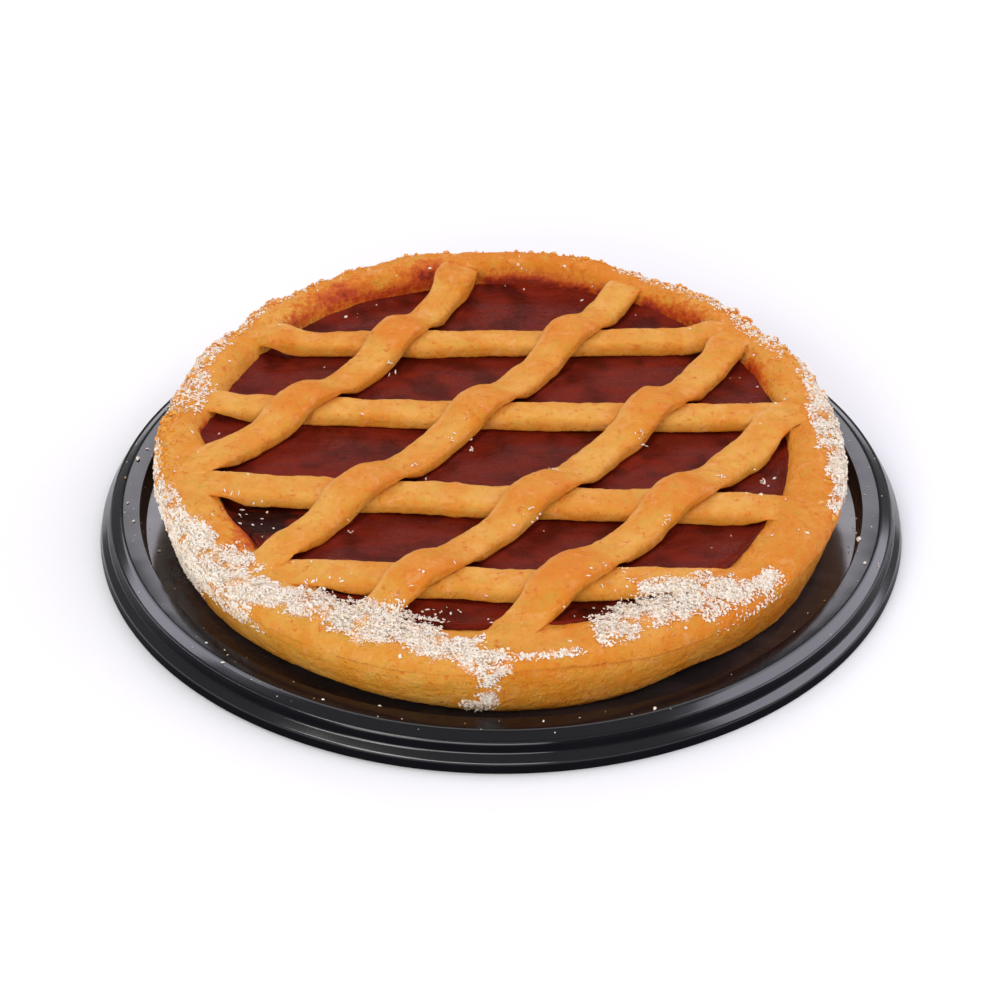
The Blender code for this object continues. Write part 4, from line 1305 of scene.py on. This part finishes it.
def build_lattice():
    """All the ribbons, of one dough."""
    material = dough_material("ribbon_dough", freckles=0.18, depth=0.0008, coarse=300.0, gloss=0.12)
    for seed, node in enumerate(RIBBONS):
        build_ribbon(node, material, seed)


# ---------------------------------------------------------------- filling


def ribbon_distance(x, y):
    """Distance in plan from the nearest ribbon's edge, outside it or under it, where it is held to
    4 mm."""
    nearest = np.full(np.shape(x), 1.0)
    for node in RIBBONS:
        _, aside, half, past = ribbon_place(node, x, y)
        nearest = np.minimum(nearest, np.hypot(np.maximum(aside - half, -0.004), past))
    return nearest


def build_filling():
    """Set jam in the well: a disc with a slow swell, drawn up by about a millimetre where it touches
    the rim and a little where it touches the ribbons. It is marked as thin at the back and beside
    the ribbons, and carries a painted shadow at a few places."""
    sizes = bpy.context.scene.tart_sizes
    columns, rows = 720, 116
    theta = bearings(columns)
    inner, _ = rim_edges(theta)
    radius = np.linspace(0.004, 1.0, rows)[:, None] * (inner + 0.0012)
    x, y = plan_point(theta, radius)
    plan = points_from(x, y, 0.0)
    swell = 0.0004 * fractal(plan, 0.030, 2, 201)
    smears = 0.00022 * fractal(plan * np.array([0.35, 1.0, 1.0]), 0.0055, 3, 205)
    to_rim = (inner - radius) / 0.0030
    from_ribbon = ribbon_distance(x, y)
    height = sizes.jam_z + swell + smears + 0.0013 * np.exp(-np.clip(to_rim, -0.5, None) * 1.2)
    height = height + 0.0006 * np.exp(-from_ribbon / 0.0016) - 0.0003
    top = points_from(x, y, height)
    floor = sizes.well_z + 0.0004
    side = top[-1:] * np.array([1.0, 1.0, 0.0]) + np.array([0.0, 0.0, floor])
    centre = np.array([*sizes.centre, floor])
    bottom = centre + (side - centre) * np.array([0.02, 0.02, 1.0])
    rings = np.concatenate([top, side, bottom])

    thin = 0.9 * np.exp(-np.clip(to_rim, 0.0, None) * 0.8) * bump_at(theta, 85.0, 45.0)
    thin = thin + 0.25 * np.exp(-from_ribbon / 0.002)
    thin = np.concatenate([thin, np.zeros((2, columns))])
    # Painted shadow in a few openings at the front.
    deep = sum(
        share * np.exp(-(((rings[..., 0] - px) ** 2 + (rings[..., 1] - py) ** 2) / spread**2))
        for px, py, spread, share in JAM_SHADES
    )
    mesh = tube_mesh("quince_jam", rings, thin=thin, deep=np.clip(deep, 0.0, 1.0))
    add_piece("quince_jam", mesh, jam_material(), "quince_jam", "quince_filling")


# ---------------------------------------------------------------- coconut and crumbs


def shred_shape():
    """A bent sliver with two tips: two rings of four corners, at 0.3 of its length from each end,
    lifted in the middle. Length along X, width along Y, thickness along Z, each about 1."""
    ring = np.array([(0.0, -0.5, 0.0), (0.0, 0.0, 0.5), (0.0, 0.5, 0.0), (0.0, 0.0, -0.5)])
    points = np.concatenate(
        [[(-0.5, 0.1, -0.25)], ring + (-0.2, 0.0, 0.15), ring + (0.2, 0.0, 0.15), [(0.5, -0.1, -0.25)]]
    )
    j = np.arange(4)
    after = (j + 1) % 4
    first = np.stack([np.zeros(4, int), 1 + after, 1 + j], axis=1)
    last = np.stack([np.full(4, 9), 5 + j, 5 + after], axis=1)
    sides = np.concatenate(
        [np.stack([1 + j, 1 + after, 5 + after], axis=1), np.stack([1 + j, 5 + after, 5 + j], axis=1)]
    )
    return points, np.concatenate([first, sides, last])


def crumb_shape():
    """A lump with eight faces: the six corners of an octahedron, each pulled off its axis a little."""
    east, west = (1.0, 0.2, 0.1), (-1.0, 0.1, -0.2)
    north, south = (0.1, 1.0, 0.2), (-0.2, -1.0, 0.1)
    top, bottom = (0.15, 0.1, 1.0), (0.1, -0.15, -1.0)
    points = 0.5 * np.array([east, west, north, south, top, bottom])
    triangles = [(0, 2, 4), (2, 1, 4), (1, 3, 4), (3, 0, 4), (2, 0, 5), (1, 2, 5), (3, 1, 5), (0, 3, 5)]
    return points, np.array(triangles)


class TopMap:
    """Height map of some pieces, as they lie from above: their points are dropped on a grid, the
    highest in each cell is kept, and empty cells take the highest of their neighbours."""

    cell = 0.0009
    half = 0.155

    def __init__(self, names):
        count = int(2 * self.half / self.cell) + 1
        self.height = np.full((count, count), -1.0)
        for name in names:
            points = mesh_points(bpy.data.objects[name].data)
            cells = ((points[:, :2] + self.half) / self.cell).astype(int)
            np.maximum.at(self.height, (cells[:, 0], cells[:, 1]), points[:, 2])
        for _ in range(3):
            around = [np.roll(self.height, step, axis) for axis in (0, 1) for step in (-1, 1)]
            self.height = np.where(self.height < 0.0, np.max(around, axis=0), self.height)

    def at(self, x, y):
        """Height at plan places, blended between the four nearest cells."""
        u = (np.asarray(x) + self.half) / self.cell - 0.5
        v = (np.asarray(y) + self.half) / self.cell - 0.5
        i, j = np.floor(u).astype(int), np.floor(v).astype(int)
        a, b = u - i, v - j
        h = self.height
        low = (1.0 - a) * h[i, j] + a * h[i + 1, j]
        high = (1.0 - a) * h[i, j + 1] + a * h[i + 1, j + 1]
        return (1.0 - b) * low + b * high

    def normal(self, x, y):
        """Unit normal from the height differences over two cells each way, no steeper than 2 in 1."""
        step = 2.0 * self.cell
        slope_x = (self.at(x + step, y) - self.at(x - step, y)) / (2.0 * step)
        slope_y = (self.at(x, y + step) - self.at(x, y - step)) / (2.0 * step)
        slope_x, slope_y = np.clip(slope_x, -2.0, 2.0), np.clip(slope_y, -2.0, 2.0)
        normal = np.stack([-slope_x, -slope_y, np.ones_like(slope_x)], axis=-1)
        return normal / np.linalg.norm(normal, axis=-1, keepdims=True)


def scatter_axes(normals, sizes, tilt, draw):
    """Three axis vectors for each bit: a random direction in its surface, the direction across it
    and the normal, tipped by a random tilt, each as long as the bit is that way."""
    count = len(normals)
    normals = normals + tilt * draw.normal(size=(count, 3))
    normals /= np.linalg.norm(normals, axis=1, keepdims=True)
    first = draw.normal(size=(count, 3))
    first -= np.sum(first * normals, axis=1, keepdims=True) * normals
    first /= np.linalg.norm(first, axis=1, keepdims=True)
    second = np.cross(normals, first)
    return np.stack([first, second, normals], axis=1) * sizes[:, :, None]


def shred_sizes(count, look, draw):
    """Length, width and thickness of shreds: lengths between 0.5 and 1.7 of the mean, and widths
    between 0.6 and 1.5 of theirs."""
    long = look.shred * np.clip(draw.lognormal(0.0, 0.38, count), 0.5, 1.7)
    wide = look.shred_width * draw.uniform(0.6, 1.5, count)
    return np.stack([long, wide, 0.6 * wide], axis=1)


def grain_sizes(count, look, draw):
    """Length, width and thickness of grains: lengths between 0.5 and 2 of the mean, and widths
    between 0.45 and 1 of the length."""
    long = look.grain * np.clip(draw.lognormal(0.0, 0.40, count), 0.5, 2.0)
    width, thickness = draw.uniform(0.45, 1.0, (2, count))
    return np.stack([long, long * width, 0.7 * long * width * thickness], axis=1)


def held_normal(count, draw):
    """Normal draws. One beyond 1.6 either way gives place to an even draw between -1.6 and 1.6."""
    limit = 1.6
    value = draw.normal(size=count)
    return np.where(np.abs(value) > limit, draw.uniform(-limit, limit, count), value)


def clumped(places, draw):
    """Which of the places to keep: a place stays when a random number is below the kept share times
    the patchiness there."""
    return draw.uniform(0.0, 1.0, len(places)) < KEPT_SHARE * patchiness(places)


def heaped(place, pile, cover, draw):
    """How far bits lie off the surface: 0.1 mm and a random share of the pile's height, times the
    cover, times 0.05 to 1.95 by noise in lumps 3 mm wide."""
    lumps = 1.0 + 1.9 * np.clip(fractal(place, 0.0030, 2, 305), -0.5, 0.5)
    return 0.0001 + pile * cover * lumps * draw.uniform(0.0, 1.0, len(place))


def rim_places(theta, share, top):
    """Places and normals at shares of the way across the rim, below 0 also on the lattice and the
    jam, read off the height map."""
    inner, outer = rim_edges(theta)
    x, y = plan_point(theta, inner + share * (outer - inner))
    return points_from(x, y, top.at(x, y)), top.normal(x, y)


def side_places(theta, share, top):
    """Places and normals on the case's side, at shares of the height from foot to seam. The normals
    turn upwards above the seam."""
    foot_z = bpy.context.scene.tart_sizes.foot_z
    x, y = plan_point(theta, side_radius(theta, share) + 0.0001)
    upward = np.where(share < 1.0, -0.15, 6.0 * (share - 1.0) ** 2)
    normal = points_from(np.cos(theta), np.sin(theta), upward)
    normal /= np.linalg.norm(normal, axis=1, keepdims=True)
    return points_from(x, y, foot_z + share * (seam_height(theta) - foot_z)), normal


def strew(top, amount, draw):
    """Places and normals of coconut on the banks. A bearing and a share are drawn round the bank's
    middle, and the place follows from them. The heap is thickest where the bank is."""
    centres, normals = [], []
    for banks, find, least, most in (
        (RIM_BANKS, rim_places, -0.25, 0.975),
        (WALL_BANKS, side_places, 0.03, 1.40),
    ):
        for bearing, spread, middle, width, count, pile in banks:
            drawn = int(count * amount / KEPT_SHARE)
            theta = np.radians(bearing + spread * held_normal(drawn, draw))
            share = np.clip(middle + width * held_normal(drawn, draw), least, most)
            place, normal = find(theta, share, top)
            kept = clumped(place, draw)
            lift = heaped(place, pile, bank_cover(theta, share, banks), draw)
            centres.append((place + normal * lift[:, None])[kept])
            normals.append(normal[kept])
    return np.concatenate(centres), np.concatenate(normals)


def build_coconut():
    """Grated coconut in banks round the tart: shreds as one piece and grains as another. Some shreds
    also lie on the jam and the ribbons, and single grains on the rim and the lattice."""
    tilt, whiteness = 0.40, 1.6
    look = bpy.context.scene.coconut_look
    draw = np.random.default_rng(look.seed)
    top = TopMap(["crust_rim", "quince_jam"] + ["dough_" + node for node in RIBBONS])
    material = coconut_material()

    centres, normals = strew(top, look.shreds, draw)
    loose = np.concatenate([
        np.array([x, y]) + spread * draw.normal(size=(count, 2)) for x, y, spread, count in SPRINKLES
    ])
    centres = np.concatenate([centres, np.column_stack([loose, top.at(*loose.T) + 0.0002])])
    normals = np.concatenate([normals, top.normal(*loose.T)])
    axes = scatter_axes(normals, shred_sizes(len(centres), look, draw), tilt, draw)
    tone = draw.uniform(0.0, 1.0, len(centres)) ** whiteness
    add_bits("coconut_shreds", shred_shape(), centres, axes, tone, material, "coconut")

    centres, normals = strew(top, look.grains, draw)
    theta = draw.uniform(-math.pi, math.pi, look.strays)
    place, normal = rim_places(theta, draw.uniform(-0.5, 0.95, look.strays), top)
    centres = np.concatenate([centres, place + np.array([0.0, 0.0, 0.0001])])
    normals = np.concatenate([normals, normal])
    axes = scatter_axes(normals, grain_sizes(len(centres), look, draw), tilt, draw)
    tone = draw.uniform(0.0, 1.0, len(centres)) ** whiteness
    add_bits("coconut_grains", crumb_shape(), centres, axes, tone, material, "coconut")


def tray_places(theta, radius, raised):
    """Places and normals on the tray's floor, recess wall, flange or shoulder, raised a little."""
    tray = bpy.context.scene.tray_sizes
    radii = (tray.floor_radius, tray.flange_inner, tray.flange_outer, tray.lip_inner)
    heights = (tray.floor_z, tray.flange_z, tray.flange_z, tray.flange_z - SHOULDER_DROP)
    height = np.interp(radius, radii, heights) + raised
    places = points_from(radius * np.cos(theta), radius * np.sin(theta), height)
    return places, np.tile([0.0, 0.0, 1.0], (len(places), 1))


def build_tray_specks():
    """Bits of coconut that fell on the tray: the larger ones at their places, fine ones at random."""
    draw = np.random.default_rng(23)
    placed = np.array(TRAY_SPECKS)
    fine = 150
    bearing = np.concatenate([placed[:, 0], draw.uniform(-180.0, 180.0, fine)])
    radius = np.concatenate([placed[:, 1], draw.uniform(0.1275, 0.1445, fine)])
    long = np.concatenate([placed[:, 2], draw.uniform(0.0003, 0.0009, fine)])
    measures = np.stack([long, 0.55 * long, 0.40 * long], axis=1)
    centres, up = tray_places(np.radians(bearing), radius, 0.45 * measures[:, 2])
    axes = scatter_axes(up, measures, 0.15, draw)
    tone = 0.4 * draw.uniform(0.0, 1.0, len(centres))
    material = bpy.data.materials["grated_coconut"]
    add_bits("tray_specks", shred_shape(), centres, axes, tone, material, "coconut")


def build_crumbs():
    """Toasted crumbs of crust: along the crumbly stretches of the rim and a few on the tray."""
    crumbs, fallen, size = 230, 26, 0.0019
    draw = np.random.default_rng(31)
    theta = np.concatenate([
        np.radians(bearing + 0.8 * spread * draw.normal(size=int(crumbs * strength)))
        for bearing, spread, strength in CRUMBLY_STRETCHES
    ])
    share = np.clip(draw.normal(0.82, 0.12, len(theta)), 0.3, 0.975)
    centres, normals = rim_places(theta, share, TopMap(["crust_rim"]))
    side = size * np.clip(draw.lognormal(0.0, 0.4, len(theta)), 0.4, 2.0)
    theta = draw.uniform(-math.pi, math.pi, fallen)
    radius = draw.uniform(0.1285, 0.1420, fallen)
    low_side = draw.uniform(0.0004, 0.0011, fallen)
    low_centres, up = tray_places(theta, radius, 0.3 * low_side)
    centres = np.concatenate([centres, low_centres])
    normals = np.concatenate([normals, up])
    side = np.concatenate([side, low_side])
    measures = np.stack([side, side * draw.uniform(0.6, 1.0, len(side)), 0.7 * side], axis=1)
    axes = scatter_axes(normals, measures, 0.3, draw)
    tone = draw.uniform(0.0, 1.0, len(side))
    add_bits("crust_crumbs", crumb_shape(), centres, axes, tone, crumb_material(), "rim_crust")


# ---------------------------------------------------------------- stage


def add_softbox(name, place, size, radiance, tint=(1.0, 1.0, 1.0)):
    """A rectangular light that faces the tart. Its power is radiance times pi times its area."""
    light = bpy.data.lights.new(name, "AREA")
    light.shape = "RECTANGLE"
    light.size, light.size_y = size
    light.energy = radiance * math.pi * size[0] * size[1]
    light.color = tint
    lamp = bpy.data.objects.new(name, light)
    lamp.location = place
    lamp.rotation_euler = (-lamp.location).to_track_quat("-Z", "Y").to_euler()
    bpy.context.scene.collection.objects.link(lamp)


def direction(azimuth, elevation, distance):
    """A place at an azimuth from +Y towards +X and an elevation, in degrees."""
    a, e = math.radians(azimuth), math.radians(elevation)
    level = math.cos(e)
    return distance * math.sin(a) * level, distance * math.cos(a) * level, distance * math.sin(e)


def build_stage():
    """Pale floor just below the tray, even light, softboxes and the camera at the photograph's
    angle."""
    setup = bpy.context.scene.studio_setup
    scene = bpy.context.scene
    scene.view_settings.view_transform = "Standard"
    scene.view_settings.look = "None"

    side, drop = 6.0, -0.0002
    corners = [(-side, -side, drop), (side, -side, drop), (side, side, drop), (-side, side, drop)]
    floor_mesh = bpy.data.meshes.new("floor")
    floor_mesh.from_pydata(corners, [], [(0, 1, 2, 3)])
    floor_mesh.update()
    values = {"Roughness": 0.8, "Specular IOR Level": 0.2}
    material, tree, shader, place = new_material("pale_floor", values)
    cloudy = noise_node(tree, place, 3.0, 2.0, 0.5)
    pale = mix_colours(tree, cloudy, (0.95, 0.95, 0.95), (0.97, 0.97, 0.97))
    set_inputs(tree, shader, {"Base Color": pale})
    floor_mesh.materials.append(material)
    floor = bpy.data.objects.new("floor", floor_mesh)
    scene.collection.objects.link(floor)

    world = bpy.data.worlds.new("studio")
    world.use_nodes = True
    light = {"Color": (1.0, 1.0, 1.0, 1.0), "Strength": setup.ambient}
    set_inputs(world.node_tree, world.node_tree.nodes["Background"], light)
    scene.world = world

    cool = (0.89, 0.87, 1.0)
    add_softbox("overhead_panel", direction(0.0, 62.0, 2.6), (2.0, 1.0), setup.overhead)
    add_softbox("back_panel", direction(0.0, 32.5, 3.0), (1.4, 0.55), setup.back, (0.93, 0.91, 1.0))
    add_softbox("left_panel", direction(-52.0, 44.0, 2.6), (1.4, 1.6), setup.left, cool)
    add_softbox("right_panel", direction(74.0, 38.0, 2.6), (3.0, 2.3), setup.right, cool)
    add_softbox("front_panel", direction(-165.0, 19.0, 3.0), (2.8, 1.0), setup.front)
    add_softbox("key_panel", direction(-140.0, 36.0, 2.4), (1.2, 0.5), setup.key, (1.0, 0.97, 0.93))

    camera = bpy.data.cameras.new("camera")
    camera.lens = setup.lens
    camera.sensor_width = 36.0
    camera.shift_x, camera.shift_y = setup.shift_x, setup.shift_y
    holder = bpy.data.objects.new("camera", camera)
    pitch = math.radians(setup.pitch)
    holder.location = (0.0, -setup.distance * math.cos(pitch), setup.distance * math.sin(pitch))
    holder.rotation_euler = (math.pi / 2.0 - pitch, 0.0, 0.0)
    scene.collection.objects.link(holder)
    scene.camera = holder


# ---------------------------------------------------------------- operators and panel


class TART_OT_tray(Operator):
    """Makes the black serving tray"""

    bl_idname = "tart.tray"
    bl_label = "Tray"

    def execute(self, context):
        build_tray()
        return {"FINISHED"}


class TART_OT_case(Operator):
    """Makes the side wall and the rounded rim of the baked case"""

    bl_idname = "tart.case"
    bl_label = "Case"

    def execute(self, context):
        build_wall()
        build_rim()
        return {"FINISHED"}


class TART_OT_lattice(Operator):
    """Lays the dough ribbons over and under each other"""

    bl_idname = "tart.lattice"
    bl_label = "Lattice"

    def execute(self, context):
        build_lattice()
        return {"FINISHED"}


class TART_OT_filling(Operator):
    """Fills the case with quince jam"""

    bl_idname = "tart.filling"
    bl_label = "Filling"

    def execute(self, context):
        build_filling()
        return {"FINISHED"}


class TART_OT_coconut(Operator):
    """Strews grated coconut over the rim, the wall and the tray"""

    bl_idname = "tart.coconut"
    bl_label = "Coconut"

    def execute(self, context):
        build_coconut()
        build_tray_specks()
        return {"FINISHED"}


class TART_OT_crumbs(Operator):
    """Adds toasted crumbs to the rim and the tray"""

    bl_idname = "tart.crumbs"
    bl_label = "Crumbs"

    def execute(self, context):
        build_crumbs()
        return {"FINISHED"}


class TART_OT_stage(Operator):
    """Sets the floor, the lights and the camera"""

    bl_idname = "tart.stage"
    bl_label = "Stage"

    def execute(self, context):
        build_stage()
        return {"FINISHED"}


OPERATORS = (
    TART_OT_tray,
    TART_OT_case,
    TART_OT_lattice,
    TART_OT_filling,
    TART_OT_coconut,
    TART_OT_crumbs,
    TART_OT_stage,
)
SETTINGS = {
    "tray_sizes": TraySizes,
    "tart_sizes": TartSizes,
    "coconut_look": CoconutLook,
    "bake_colours": BakeColours,
    "studio_setup": StudioSetup,
}


class TART_PT_panel(Panel):
    """Lists the operators and the settings"""

    bl_label = "Quince tart"
    bl_idname = "TART_PT_panel"
    bl_space_type = "VIEW_3D"
    bl_region_type = "UI"
    bl_category = "Tart"

    def draw(self, context):
        for operator in OPERATORS:
            self.layout.operator(operator.bl_idname)
        for key, group in SETTINGS.items():
            box = self.layout.box()
            box.label(text=key.replace("_", " ").capitalize())
            for name in group.__annotations__:
                box.prop(getattr(context.scene, key), name)


def register():
    """Makes the classes known, and gives the scene its settings."""
    for cls in (*SETTINGS.values(), *OPERATORS, TART_PT_panel):
        bpy.utils.register_class(cls)
    for key, group in SETTINGS.items():
        setattr(bpy.types.Scene, key, PointerProperty(type=group))


def unregister():
    """Takes the settings and the classes away again."""
    for key in SETTINGS:
        delattr(bpy.types.Scene, key)
    for cls in (TART_PT_panel, *reversed(OPERATORS), *reversed(list(SETTINGS.values()))):
        bpy.utils.unregister_class(cls)


def main():
    """Registers the classes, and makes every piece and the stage."""
    register()
    bpy.ops.tart.tray()
    bpy.ops.tart.case()
    bpy.ops.tart.lattice()
    bpy.ops.tart.filling()
    bpy.ops.tart.coconut()
    bpy.ops.tart.crumbs()
    bpy.ops.tart.stage()


if __name__ == "__main__":
    main()
